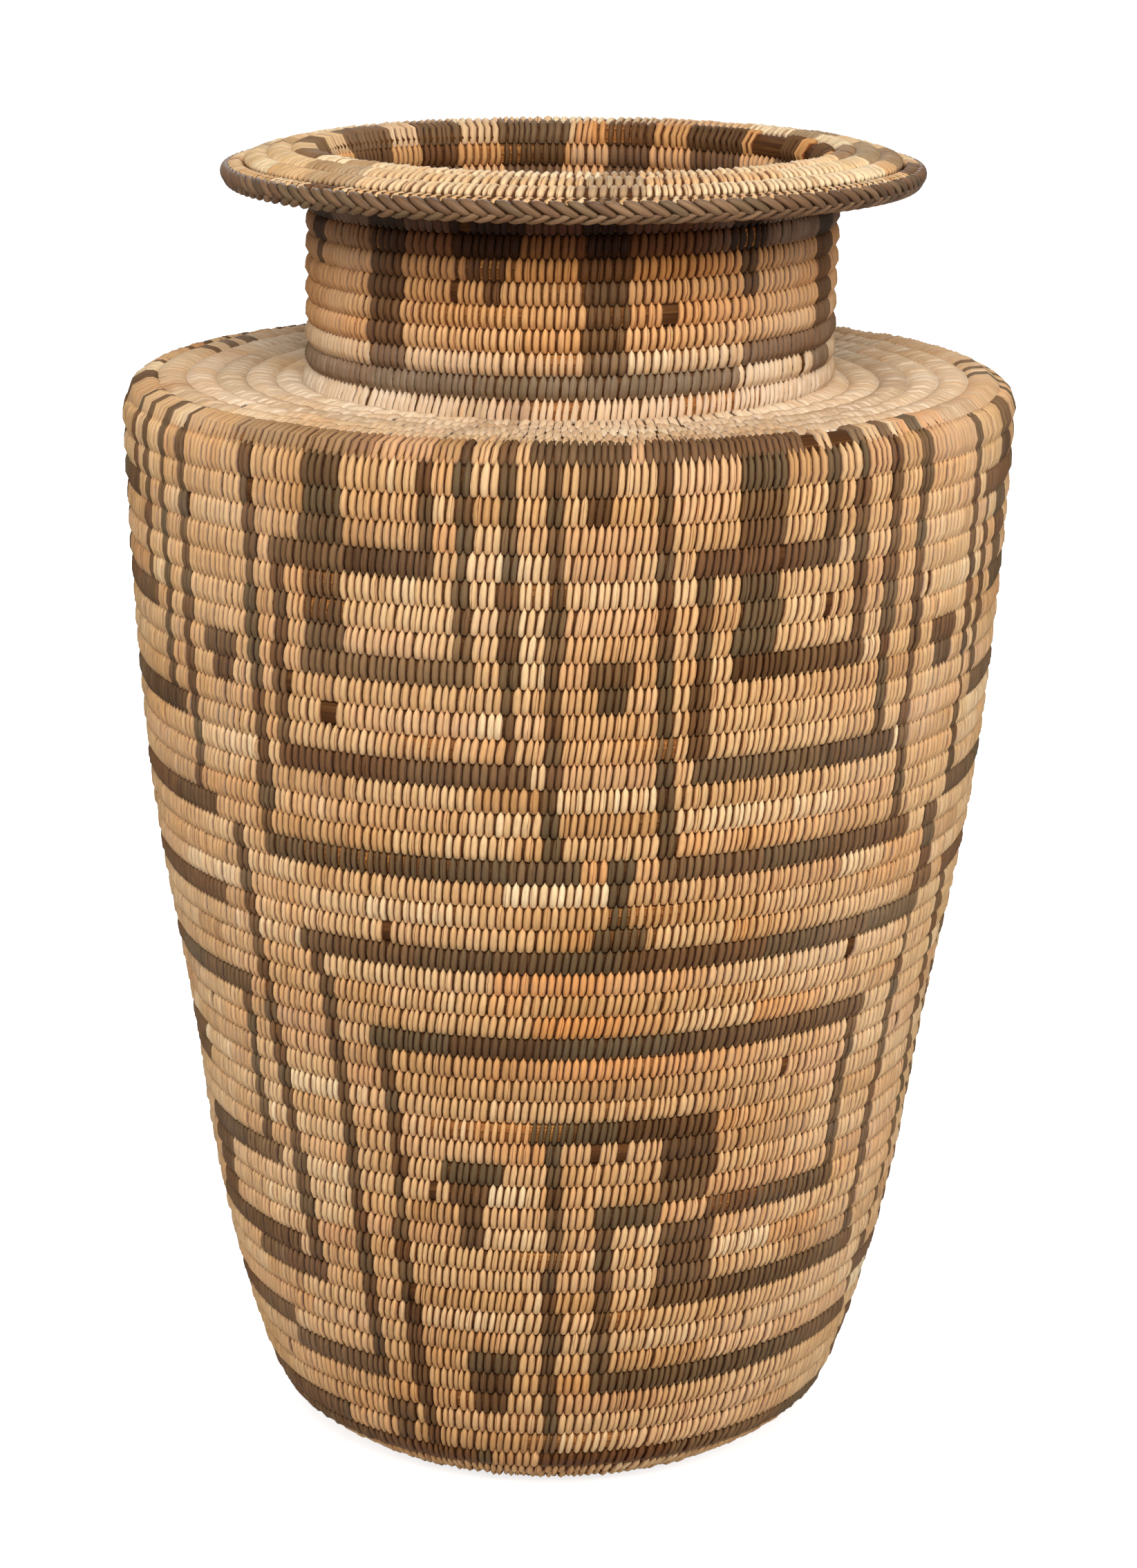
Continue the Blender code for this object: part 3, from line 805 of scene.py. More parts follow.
@dataclass
class SewnCoil:
    """The splints sewn over the coil, row into row, from the knot to the end of the flange."""

    coil: CoilLine
    ornament: Ornament
    pitches: tuple[float, float, float] = (0.00212, 0.0026, 0.0022)  # wall, shoulder and neck, flange
    leanings: tuple[float, ...] = (0.35, 0.34, 0.25, 0.10, -0.50)  # base, wall, shoulder, neck, flange
    sways: tuple[float, float] = (0.22, 0.12)  # how far they vary, on the wall and on the neck
    first_turn: float = 0.12
    split_at: float = 1.42  # stitch widths between two tips over which two stitches are sewn, and not one
    drop_at: float = 0.68  # and under which none is
    jitter: tuple[float, float] = (0.12, 0.10)  # of that measure, and of a stitch's place
    least_gap: float = 0.3  # in stitch widths
    fills: tuple[float, float] = (0.96, 0.94)  # share of its room that a stitch takes, on the wall, above
    fill_spreads: tuple[float, float] = (0.03, 0.06)
    width_limits: tuple[float, float] = (0.0011, 0.0038)
    one_splint: tuple[int, int] = (7, 20)  # how many stitches a splint lasts for
    mean_tone: float = 0.48
    tone_spreads: tuple[float, float] = (0.15, 0.07)  # from splint to splint, and from stitch to stitch
    hue_spread: float = 0.04
    neck_tone: float = 0.55
    neck_contrast: float = 0.55
    neck_hues: tuple[float, float, float] = (0.45, 0.92, 0.22)  # share if dyed, start and share if pale
    flange_tone: float = 0.3
    shoulder_fade: float = 0.4  # a dyed stitch there is no darker than this
    lift_limits: tuple[float, float] = (-0.00040, 0.00022)
    least_height: float = 0.0032  # a row lower than this has no stitches
    foot_sags: tuple[float, float] = (0.0010, 0.0014)  # on the wall, and above it
    tip_sags: tuple[float, float] = (0.0007, 0.0011)
    sag_power: float = 2.4
    seat: float = 0.00015
    painted_inner_light: float = 2.2  # painted light: less two, the lowest tone of the inner side's splints, so the painted shadow under the flange darkens the outer side alone
    rows_down: tuple[float, ...] = (0.0, 1.0, 2.0, 3.0, 4.0, 6.0)  # from the lip
    painted_lip_shadow: tuple[float, ...] = (2.5, 2.2, 0.95, 0.45, 0.22, 0.05)  # and how much darker the painted shadow of the flange makes the splints there
    # Rows, counted up, and the bearings between which their stitches are gone.
    broken: tuple[tuple[int, float, float], ...] = (
        (70, 119.5, 131.0), (70, 104, 109), (55, 29.5, 31.8), (55, 34.2, 37.0), (49, 33.0, 34.4),
        (36, -24.5, -23.0), (29, 34.5, 35.7), (65, 19.0, 22.0), (45, -31.5, -29.5))
    lost_share: float = 0.0022  # of all other stitches
    lost_from: float = 10.0  # turns
    dusts: tuple[float, ...] = (0.06, 0.75, 0.10, 0.07)  # everywhere, facing up, flange, unevenness
    seed: int = 7

    def __post_init__(self) -> None:
        """Models the stitches and lays them out."""
        fine = StitchForm()
        plain = StitchForm(across=(-0.5, 0.0, 0.5), drawn_in=(-0.0006, 0.0002, -0.0008),
                           up=(-0.02, 0.22, 0.80, 1.10), widths=(0.7, 1.0, 0.95, 0.15),
                           sunk=(-0.0006, 0.0, 0.0, -0.0005))
        self.fine = [fine.model(seed) for seed in range(6)]
        self.plain = [plain.model(seed) for seed in range(3)]
        self.lay()

    def pitch(self, turn: np.ndarray) -> np.ndarray:
        """The spacing at which the stitches are sewn."""
        turn = np.asarray(turn)
        zones = (turn > self.coil.firsts[2] - 0.5) + 0 + (turn > self.coil.firsts[4] - 1)
        return np.take(self.pitches, zones)

    def lean(self, turn: float) -> float:
        """How far a stitch's top stands to the right of its foot, in stitch widths."""
        base, wall, shoulder, neck, flange = self.leanings
        if turn < self.coil.firsts[1]:
            return base
        if turn < self.coil.firsts[2]:
            return wall + self.sways[0] * float(wave(turn, 3, 0.27))
        if turn < self.coil.firsts[3]:
            return shoulder
        if turn < self.coil.firsts[4] - 1:
            return neck + self.sways[1] * float(wave(turn, 4, 0.27))
        return flange

    def lay(self) -> None:
        """Sews each row into the one below: a stitch comes up between the tips of two older ones."""
        rng = np.random.default_rng(self.seed)
        last = self.coil.firsts[-1] + self.coil.shift_share - 0.03
        turns, leans = [self.first_turn], [0.0]
        while turns[-1] < 1.0:
            around = TURN * max(float(self.coil.radius(turns[-1])), 0.004)
            turns.append(turns[-1] + self.pitches[0] / around)
            leans.append(0.0)
        below = 0
        while turns[-1] < last and below + 1 < len(turns):
            left = turns[below] + leans[below]
            right = turns[below + 1] + leans[below + 1]
            around = TURN * float(self.coil.radius((left + right) / 2 + 1))
            pitch = float(self.pitch(left + 1))
            gap = (right - left) * around / pitch
            if gap < self.drop_at and below + 2 < len(turns):
                below += 1
                right = turns[below + 1] + leans[below + 1]
                gap = (right - left) * around / pitch
            count = max(1, round(gap - self.split_at + 1.5 + rng.uniform(-self.jitter[0], self.jitter[0])))
            for k in range(count):
                share = (k + 0.5) / count
                moved = rng.uniform(-self.jitter[1], self.jitter[1])
                turn = left + (right - left) * share + 1 + moved * pitch / around
                if turn > turns[-1] + self.least_gap * pitch / around:
                    turns.append(turn)
                    leans.append(self.lean(turn) * pitch / around)
            below += 1
        self.turns = np.array(turns)
        self.leans = np.array(leans)
        self.finish_layout(rng)

    def finish_layout(self, rng: np.random.Generator) -> None:
        """Gives each stitch its width and its tones.

        Args:
            rng: Where the unevenness is drawn from.
        """
        t = self.turns
        total = len(t)
        around = TURN * self.coil.radius(t)
        room = np.gradient(t) * around
        above = t > self.coil.firsts[2]
        zone = above + 0
        fill = np.take(self.fills, zone) + 0.02 * wave(t, 11, 0.05)
        fill += np.take(self.fill_spreads, zone) * rng.uniform(-1, 1, total)
        self.widths = np.clip(room * (fill - 0.5 * looseness(t)), *self.width_limits)
        wall = (t > self.coil.firsts[1]) & (t < self.coil.firsts[2])
        log.info("a stitch on the wall takes %.2f mm", 1000 * float(room[wall].mean()))
        degrees = self.pitch(t) / around * 360
        dark = np.array([self.ornament.dark(a, b) for a, b in zip(t, degrees)])
        tone, hue = np.empty(total), np.empty(total)
        k = 0
        while k < total:
            end = k + 1
            longest = k + int(rng.integers(*self.one_splint))
            while end < min(total, longest) and dark[end] == dark[k]:
                end += 1
            tone[k:end] = np.clip(rng.normal(self.mean_tone, self.tone_spreads[0]), 0, 1)
            hue[k:end] = rng.uniform()
            k = end
        stain_and_painted_shade, gold, dust_bleach_and_reflection = Weather().marks(t)
        tone = np.clip(tone + self.tone_spreads[1] * rng.normal(size=total) + stain_and_painted_shade, 0, 1)
        hue = np.clip(hue + self.hue_spread * rng.normal(size=total), 0, 1) + gold
        # Painted shadow: the neck rows under the flange are darkened row by row through their tone, to
        # below nought where it is deepest.
        lip = self.coil.firsts[4] - 1
        neck = (t > self.coil.firsts[3] + 2) & (t < lip)
        shade = np.interp(lip - 1 - t, self.rows_down, self.painted_lip_shadow) * neck
        calm = self.neck_tone + self.neck_contrast * (tone - self.mean_tone)
        tone = np.where(neck, calm, tone) - shade + self.flange_tone * (t > lip)
        dyed, start, pale = self.neck_hues
        hue = np.where(neck, np.where(dark > 0, dyed * hue, start + pale * hue), hue)
        shoulder = (t > self.coil.firsts[2]) & (t < self.coil.firsts[3])
        faded = np.where(shoulder, np.minimum(dark, self.shoulder_fade), dark)
        self.tones = np.stack([faded, tone, hue, np.clip(self.dust(t) + dust_bleach_and_reflection, 0, 1)], axis=1)
        self.seeds = rng.uniform(0, OWN_NUMBERS, total)
        self.lifts = rng.uniform(*self.lift_limits, total) * (1 - 0.35 * above + 0.9 * shoulder)
        self.variants = rng.integers(0, len(self.fine), total)
        self.present = (self.coil.along(t + 1) - self.coil.along(t) > self.least_height) & ~self.worn(t)

    def dust(self, turn: np.ndarray) -> np.ndarray:
        """How much dust lies on each stitch.

        Args:
            turn: The stitches' places.

        Returns:
            Values from 0 to 1: most on the shoulder and at the foot of the neck, which face up.
        """
        shoulder, neck = self.coil.firsts[2], self.coil.firsts[3]
        rise = np.clip((turn - shoulder + 0.9) / 1.8, 0, 1) * np.clip((neck + 2.2 - turn) / 2.4, 0, 1)
        flange = turn > self.coil.firsts[4] - 1
        shares = (1, rise, flange, wave(turn, 21, 0.2))
        return np.clip(sum(dust * share for dust, share in zip(self.dusts, shares)), 0, 1)

    def worn(self, turn: np.ndarray) -> np.ndarray:
        """Marks stitches that have broken away.

        Args:
            turn: The stitches' places.

        Returns:
            True for each missing stitch.
        """
        bearing = 360 * (turn - FRONT)
        row = np.floor(bearing / 360 + 0.5)
        bearing = bearing - 360 * row
        gone = np.zeros(len(turn), dtype=bool)
        for spot, first, last in self.broken:
            gone |= (row == spot) & (bearing > first) & (bearing < last)
        scattered = np.random.default_rng(5).uniform(size=len(turn)) < self.lost_share
        return gone | (scattered & (turn > self.lost_from))

    def bend(self, chosen: np.ndarray, form: Form, side: Side) -> np.ndarray:
        """Lays a form along the coil.

        Args:
            chosen: Which stitches get it.
            form: The form.
            side: The side of the coil that it shows on.

        Returns:
            The points of every copy.
        """
        u, v, raised = form.points.T
        turn = self.turns[chosen][:, None]
        around = TURN * np.maximum(self.coil.radius(turn), 0.003)
        turn = turn + self.leans[chosen][:, None] * v + u * self.widths[chosen][:, None] / around
        low, high = self.coil.along(turn), self.coil.along(turn + 1)
        above = (self.turns[chosen][:, None] > self.coil.firsts[2] - 1) + 0
        sag = np.where(v < 0.5, np.take(self.foot_sags, above), np.take(self.tip_sags, above))
        sag = sag * np.abs(2 * v - 1) ** self.sag_power
        fullness = np.minimum((high - low) / self.coil.half, 1)
        lift = self.lifts[chosen][:, None] * np.clip(2 - 2 * np.abs(2 * v - 1), 0, 1)
        offset = (self.coil.half - self.seat - sag) * fullness + raised + lift
        radius, height = self.coil.place(low + v * (high - low), side.value * offset)
        return on_ring(turn, radius, height, self.coil.seam)

    def build(self, stretches: list[Stretch], material: bpy.types.Material) -> None:
        """Makes the splints of each stretch.

        Args:
            stretches: The stretches, in order.
            material: The splints' finish.
        """
        for stretch in stretches:
            inside = (self.turns >= stretch.first) & (self.turns < stretch.last) & self.present
            copies = Copies()
            for side in Side:
                seen = side is Side.OUTER or stretch.first > self.coil.firsts[3] + 3
                forms = self.fine if seen else self.plain
                # Painted light: the inner side's splints keep a higher lowest tone than the outer side's,
                # so they stay lighter and the painted shadow under the flange darkens only the outer side.
                painted_light_floor = self.painted_inner_light * (side is Side.INNER) - 2
                for k, form in enumerate(forms):
                    chosen = np.flatnonzero(inside & (self.variants % len(forms) == k))
                    tones = np.maximum(self.tones[chosen], (0, painted_light_floor, 0, 0))
                    copies.add(form, self.bend(chosen, form, side), tones, self.seeds[chosen],
                               flip=side is Side.INNER)
            piece = copies.build(f"{stretch.node}_splints", material)
            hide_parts(stretch.node)
            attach(piece, "root")
            log.info("%s: %d stitches, %d faces", piece.name, inside.sum(), len(piece.data.polygons))


@dataclass
class Bundle:
    """The bundle of stalks that the splints are sewn over, seen between them."""

    coil: CoilLine
    steps_per_turn: int = 96
    sides: int = 10
    depth: float = 0.0011
    groove_power: float = 2.3

    def build(self, name: str, slot: str, first: float, last: float, material: bpy.types.Material) -> None:
        """Makes one stretch of the bundle as a closed tube.

        Args:
            name: The piece's name.
            slot: The material slot of the record, which is not used.
            first, last: The turns between which it runs.
            material: Its finish.
        """
        count = int((last - first) * self.steps_per_turn) + 1
        turn = np.linspace(first, last, count)[:, None]
        around = TURN * np.arange(self.sides) / self.sides
        low, high = self.coil.along(turn), self.coil.along(turn + 1)
        v = 0.5 + 0.5 * np.sin(around) * np.abs(np.sin(around)) ** -0.25 * 0.99
        v = np.where(np.abs(np.sin(around)) < 1e-9, 0.5, np.clip(v, 0.01, 0.99))
        fullness = np.minimum((high - low) / self.coil.half, 1)
        groove = self.coil.groove * np.abs(2 * v - 1) ** self.groove_power
        reach = (self.coil.half - self.depth - groove) * fullness
        offset = np.sign(np.round(np.cos(around), 6)) * reach
        radius, height = self.coil.place(low + v * (high - low), offset)
        points = on_ring(np.broadcast_to(turn, radius.shape), radius, height, self.coil.seam)
        here = np.arange(count - 1)[:, None] * self.sides + np.arange(self.sides)
        following = np.arange(count - 1)[:, None] * self.sides + (np.arange(self.sides) + 1) % self.sides
        quad = [here, following, following + self.sides, here + self.sides]
        quads = np.stack(quad, axis=-1).reshape(-1, 4)
        faces = [tuple(q) for q in quads.tolist()]
        top = (count - 1) * self.sides
        faces += [tuple(range(self.sides))[::-1], tuple(range(top, top + self.sides))]
        mesh = bpy.data.meshes.new(name)
        mesh.from_pydata(points.reshape(-1, 3).tolist(), [], faces)
        length = np.concatenate([[0], np.cumsum(TURN * self.coil.radius(turn[1:, 0])
                                                * np.diff(turn[:, 0]))])
        place = np.stack([np.broadcast_to(around / TURN, radius.shape),
                          np.broadcast_to(length[:, None] * PLACE_UNITS, radius.shape),
                          np.zeros(radius.shape)], axis=-1)
        add_values(mesh, "place", place)
        # How open the splints leave the bundle, which lifts the painted shade in its finish.
        bare = np.zeros(radius.shape + (4,))
        bare[..., 0] = np.clip(looseness(turn) * 3, 0, 1)
        add_values(mesh, "splint", bare)
        mesh.shade_smooth()
        mesh.materials.append(material)
        thing = place_in_scene(name, mesh)
        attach(thing, "root")
        log.info("%s: %d faces", name, len(mesh.polygons))


@dataclass
class Wires:
    """A node tree and the shortest way to add to it."""

    tree: bpy.types.NodeTree

    def feed(self, node: bpy.types.Node, **inputs: object) -> None:
        """Gives a node's inputs their values or their links.

        Args:
            node: The node.
            inputs: Values and sockets by the input's name, where a space is written as an underscore, or
                by its number after an i.
        """
        for name, value in inputs.items():
            number = name[1:]
            socket = node.inputs[int(number) if number.isdigit() else name.replace("_", " ")]
            if isinstance(value, bpy.types.NodeSocket):
                self.tree.links.new(value, socket)
            else:
                socket.default_value = value

    def node(self, kind: str, **inputs: object) -> bpy.types.Node:
        """Adds a node.

        Args:
            kind: Its type.
            inputs: Settings of the node, and what its inputs are fed with.

        Returns:
            The node.
        """
        made = self.tree.nodes.new(kind)
        settings = [name for name in inputs if hasattr(made, name)]
        for name in settings:
            setattr(made, name, inputs.pop(name))
        self.feed(made, **inputs)
        return made

    def read(self, attribute: str) -> bpy.types.Node:
        """Adds a node that reads an attribute of the points."""
        return self.node("ShaderNodeAttribute", attribute_name=attribute)

    def noise(self, at: bpy.types.NodeSocket, scale: float, detail: float,
              roughness: float = 0.5) -> bpy.types.NodeSocket:
        """Adds a cloudy noise and gives its value."""
        return self.node("ShaderNodeTexNoise", Vector=at, Scale=scale, Detail=detail,
                         Roughness=roughness).outputs[0]

    def math(self, operation: str, first: object, second: object = 0.5,
             clamp: bool = False) -> bpy.types.NodeSocket:
        """Adds a sum and gives its result."""
        return self.node("ShaderNodeMath", operation=operation, use_clamp=clamp, i0=first,
                         i1=second).outputs[0]

    def times(self, first: object, second: object, clamp: bool = False) -> bpy.types.NodeSocket:
        """Multiplies two values."""
        return self.math("MULTIPLY", first, second, clamp)

    def plus(self, first: object, second: object) -> bpy.types.NodeSocket:
        """Adds two values."""
        return self.math("ADD", first, second)

    def larger(self, first: object, second: object) -> bpy.types.NodeSocket:
        """Gives the larger of two values."""
        return self.math("MAXIMUM", first, second)

    def mix(self, factor: object, first: object, second: object,
            blend: str = "MIX") -> bpy.types.NodeSocket:
        """Mixes two colours and gives the result."""
        return self.node("ShaderNodeMix", data_type="RGBA", blend_type=blend, i0=factor, i6=first,
                         i7=second).outputs[2]

    def tinted(self, factor: object, colour: object, tint: Colour) -> bpy.types.NodeSocket:
        """Multiplies a colour with a tint where the factor says so."""
        return self.mix(factor, colour, self.mix(1.0, colour, tint, "MULTIPLY"))

    def levelled(self, colour: object, level: bpy.types.NodeSocket) -> bpy.types.NodeSocket:
        """Multiplies all channels of a colour with one value."""
        grey = self.node("ShaderNodeCombineColor", i0=level, i1=level, i2=level).outputs[0]
        return self.mix(1.0, colour, grey, "MULTIPLY")

    def ramp(self, factor: bpy.types.NodeSocket, stops: tuple) -> bpy.types.NodeSocket:
        """Adds a colour ramp.

        Args:
            factor: What it reads.
            stops: Pairs of position and colour.

        Returns:
            Its colour.
        """
        made = self.node("ShaderNodeValToRGB", i0=factor)
        band = made.color_ramp.elements
        while len(band) < len(stops):
            band.new(0.5)
        for element, (position, colour) in zip(band, stops):
            element.position, element.color = position, colour
        return made.outputs[0]

    def spread(self, value: object, low: float, high: float, to_low: float = 0.0,
               to_high: float = 1.0) -> bpy.types.NodeSocket:
        """Maps a range of values on another, clamped."""
        return self.node("ShaderNodeMapRange", i0=value, i1=low, i2=high, i3=to_low, i4=to_high).outputs[0]


def new_group(name: str, takes: dict[str, str], gives: dict[str, str]) -> tuple[bpy.types.NodeTree, Wires]:
    """Starts a shader node group.

    Args:
        name: Its name.
        takes: Its inputs, by name and socket type.
        gives: Its outputs, by name and socket type.

    Returns:
        The group and its wires.
    """
    group = bpy.data.node_groups.new(name, "ShaderNodeTree")
    for sockets, way in ((takes, "INPUT"), (gives, "OUTPUT")):
        for label, kind in sockets.items():
            group.interface.new_socket(name=label, in_out=way, socket_type=kind)
    return group, Wires(group)


def new_material(name: str) -> tuple[bpy.types.Material, Wires, bpy.types.Node]:
    """Starts a material.

    Args:
        name: Its name.

    Returns:
        The material, its wires and its surface shader.
    """
    made = bpy.data.materials.new(name)
    made.use_nodes = True
    return made, Wires(made.node_tree), made.node_tree.nodes["Principled BSDF"]


@dataclass(frozen=True)
class SplitFibre:
    """The grain of a split stem: fine streaks along it, a crack in some, and masks of its edges, foot and
    tip, where the finishes paint shade and a highlight.
    """

    name: str = "split fibre"
    edge_from: float = 0.2  # in widths from the middle
    edge_to: float = 0.455
    edge_power: float = 2.2
    cracked_over: float = 0.66  # the rest of the splints have a crack

    def group(self) -> bpy.types.NodeTree:
        """Builds the node group once."""
        if self.name in bpy.data.node_groups:
            return bpy.data.node_groups[self.name]
        number = "NodeSocketFloat"
        group, wires = new_group(
            self.name, {"Place": "NodeSocketVector", "Streaks": number, "Stretch": number},
            dict.fromkeys(("Grain", "Fine", "Edge", "End", "Crack", "Tip"), number))
        taken, given = wires.node("NodeGroupInput").outputs, wires.node("NodeGroupOutput")
        x, y, own = wires.node("ShaderNodeSeparateXYZ", i0=taken["Place"]).outputs
        at = wires.node("ShaderNodeCombineXYZ", i0=wires.plus(wires.times(x, taken["Streaks"]), own),
                        i1=wires.times(y, taken["Stretch"]), i2=wires.times(own, 7.3)).outputs[0]
        grain = wires.noise(at, 1.0, 2.0, 0.6)
        aside = wires.spread(wires.math("ABSOLUTE", x), self.edge_from, self.edge_to)
        crack_at = wires.plus(wires.math("FRACT", wires.times(own, 7.13)), wires.times(grain, 0.25))
        off = wires.math("ABSOLUTE", wires.math("SUBTRACT", x, wires.math("SUBTRACT", crack_at, 0.62)))
        cracked = wires.math("GREATER_THAN", wires.math("FRACT", wires.times(own, 3.71)), self.cracked_over)
        wires.feed(given, Grain=grain, Fine=wires.noise(at, 3.1, 2.0, 0.7),
                   Edge=wires.math("POWER", aside, self.edge_power), End=wires.spread(y, 0.09, -0.02),
                   Crack=wires.times(wires.spread(off, 0.055, 0.015), cracked),
                   Tip=wires.spread(y, 0.72, 1.0))
        return group


@dataclass(frozen=True)
class GroundDust:
    """Dust that lies over the weave, thicker in its dips, and with it the paler sides of the wall, partly a
    painted reflection.
    """

    name: str = "ground dust"
    cloud_scale: float = 38.0
    least_in_dips: float = 0.72

    def group(self) -> bpy.types.NodeTree:
        """Builds the node group once."""
        if self.name in bpy.data.node_groups:
            return bpy.data.node_groups[self.name]
        number, colour = "NodeSocketFloat", "NodeSocketColor"
        group, wires = new_group(
            self.name, {"Color": colour, "Dust": colour, "Amount": number, "Dips": number},
            {"Color": colour, "Mask": number})
        taken, given = wires.node("NodeGroupInput").outputs, wires.node("NodeGroupOutput")
        cloud = wires.noise(wires.node("ShaderNodeTexCoord").outputs["Object"], self.cloud_scale, 4.0, 0.65)
        mask = wires.times(taken["Amount"], wires.spread(cloud, 0.32, 0.68, 0.35, 1.25))
        mask = wires.times(mask, wires.plus(taken["Dips"], self.least_in_dips), clamp=True)
        wires.feed(given, Color=wires.mix(mask, taken["Color"], taken["Dust"]), Mask=mask)
        return group


@dataclass(frozen=True)
class SplintFinish:
    """Willow splints with a dull sheen: pale ones, and dark ones dyed or split from a dark pod, with
    painted shade and a painted highlight.
    """

    name: str = "sewn splints"
    pale: Stops = ((0.0, paint(182, 132, 78)), (0.35, paint(207, 160, 105)), (0.65, paint(220, 179, 127)),
                   (1.0, paint(240, 214, 170)))
    golden: Colour = paint(216, 148, 82)
    rosy: Colour = paint(214, 158, 112)
    dark: Stops = ((0.0, paint(84, 56, 30)), (0.5, paint(114, 82, 50)), (1.0, paint(138, 106, 70)))
    olive: Colour = paint(98, 80, 54)
    russet: Colour = paint(112, 72, 40)
    # Tint of the painted shadow under the flange.
    painted_shadow_tint: Colour = paint(96, 56, 32)
    # Tint of the painted shade at the splints' edges and feet, and of their cracks.
    painted_shade_and_crack: Colour = paint(150, 98, 58)
    # Painted highlight on the stitches' tips.
    painted_tip_highlight: Colour = (1.25, 1.25, 1.25, 1.0)
    # Dust, and the paler sides that are partly a painted reflection.
    dust: Colour = paint(226, 204, 176)
    streaks: float = 3.2
    stretch: float = 1.2
    sheen: float = 0.10
    bump: tuple[float, float] = (0.35, 0.0004)  # its strength and its depth

    def build(self) -> bpy.types.Material:
        """Builds the material from the splint and place attributes."""
        made, wires, shader = new_material(self.name)
        splint = wires.read("splint").outputs
        dust_and_painted_reflection = splint["Alpha"]
        dyed, shade, hue = wires.node("ShaderNodeSeparateColor", i0=splint["Color"]).outputs
        grain, fine, edge, end, crack, tip = wires.node(
            "ShaderNodeGroup", node_tree=SplitFibre().group(), Place=wires.read("place").outputs["Vector"],
            Streaks=self.streaks, Stretch=self.stretch).outputs
        pale = wires.ramp(shade, self.pale)
        pale = wires.mix(wires.spread(hue, 0.82, 1.25, 0.0, 0.9), pale, self.golden)
        pale = wires.mix(wires.spread(hue, 0.28, 0.0, 0.0, 0.5), pale, self.rosy)
        dark = wires.ramp(shade, self.dark)
        dark = wires.mix(wires.spread(hue, 0.6, 1.0, 0.0, 0.8), dark, self.olive)
        dark = wires.mix(wires.spread(hue, 0.4, 0.0, 0.0, 0.8), dark, self.russet)
        # Tones below nought carry the painted shadow under the flange, which tints the colour darker.
        colour = wires.tinted(wires.spread(shade, 0.0, -1.3), wires.mix(dyed, pale, dark), self.painted_shadow_tint)
        colour = wires.levelled(colour, wires.times(wires.spread(grain, 0.3, 0.7, 0.80, 1.10),
                                                    wires.spread(fine, 0.3, 0.7, 0.92, 1.05)))
        # Painted shade at each splint's edges and at its foot, where it dips between its neighbours and
        # into the groove, with the real cracks in the same tint; less of it where dust lies.
        worn = wires.larger(wires.times(edge, 0.95), wires.times(end, 0.4))
        worn = wires.larger(worn, wires.times(crack, 0.85))
        worn = wires.times(worn, wires.spread(dust_and_painted_reflection, 0.3, 0.9, 1.0, 0.35))
        colour = wires.tinted(worn, colour, self.painted_shade_and_crack)
        # Painted highlight on the upper tip of each stitch, which faces the lamps.
        colour = wires.tinted(wires.times(tip, 0.30), colour, self.painted_tip_highlight)
        # The dust channel also carries the paler sides, partly a painted reflection.
        dust_and_reflection_amount = wires.times(dust_and_painted_reflection, wires.spread(dyed, 0.0, 1.0, 1.0, 0.32))
        dust = wires.node("ShaderNodeGroup", node_tree=GroundDust().group(), Color=colour, Dust=self.dust,
                          Amount=dust_and_reflection_amount, Dips=wires.larger(end, edge)).outputs
        relief = wires.plus(grain, wires.times(fine, 0.5))
        bump = wires.node("ShaderNodeBump", Strength=self.bump[0], Distance=self.bump[1], Height=relief)
        rough = wires.plus(wires.spread(fine, 0.3, 0.7, 0.50, 0.66), wires.times(dust["Mask"], 0.3))
        wires.feed(shader, Base_Color=dust["Color"], Roughness=rough, Normal=bump.outputs[0],
                   Specular_IOR_Level=self.sheen)
        return made


@dataclass(frozen=True)
class BundleFinish:
    """Dry grass stalks in a round bundle, warm, with painted shade where the splints close over them and
    between the stalks.
    """

    name: str = "stalk bundle"
    # Tint of the painted shade in the bundle's gaps.
    painted_gap_shade: Colour = paint(60, 34, 16)
    stalks: Stops = ((0.25, paint(104, 58, 26)), (0.5, paint(164, 104, 52)), (0.72, paint(208, 152, 86)))
    grain: tuple[float, float, float] = (34.0, 0.35, 1.0)  # round the bundle, along it, and not used
    cloud_scale: float = 140.0
    rods: int = 12
    sheen: float = 0.10
    bump: tuple[float, float] = (0.8, 0.0005)  # its strength and its depth

    def build(self) -> bpy.types.Material:
        """Builds the material from the place attribute."""
        made, wires, shader = new_material(self.name)
        place = wires.read("place").outputs["Vector"]
        stalks = wires.noise(wires.node("ShaderNodeVectorMath", operation="MULTIPLY", i0=place,
                                        i1=self.grain).outputs[0], 1.0, 2.0)
        cloud = wires.noise(wires.node("ShaderNodeTexCoord").outputs["Object"], self.cloud_scale, 3.0)
        mixed = wires.plus(wires.times(stalks, 0.7), wires.times(cloud, 0.3))
        around = wires.node("ShaderNodeSeparateXYZ", i0=place).outputs[0]
        rods = wires.math("ABSOLUTE", wires.math("SINE", wires.times(around, self.rods * math.pi / 2)))
        bare = wires.node("ShaderNodeSeparateColor", i0=wires.read("splint").outputs["Color"]).outputs[0]
        # Painted shade: the bundle goes dark between its rods and where the splints cover it tightly, and
        # shows its stalk colours only where they leave it open.
        lit = wires.times(wires.spread(rods, 0.1, 0.5, 0.25, 1.0), wires.spread(bare, 0.0, 1.0, 0.16, 1.0))
        bump = wires.node("ShaderNodeBump", Strength=self.bump[0], Distance=self.bump[1], Height=stalks)
        wires.feed(shader, Base_Color=wires.mix(lit, self.painted_gap_shade, wires.ramp(mixed, self.stalks)),
                   Roughness=wires.spread(stalks, 0.3, 0.7, 0.9, 0.7), Normal=bump.outputs[0],
                   Specular_IOR_Level=self.sheen)
        return made


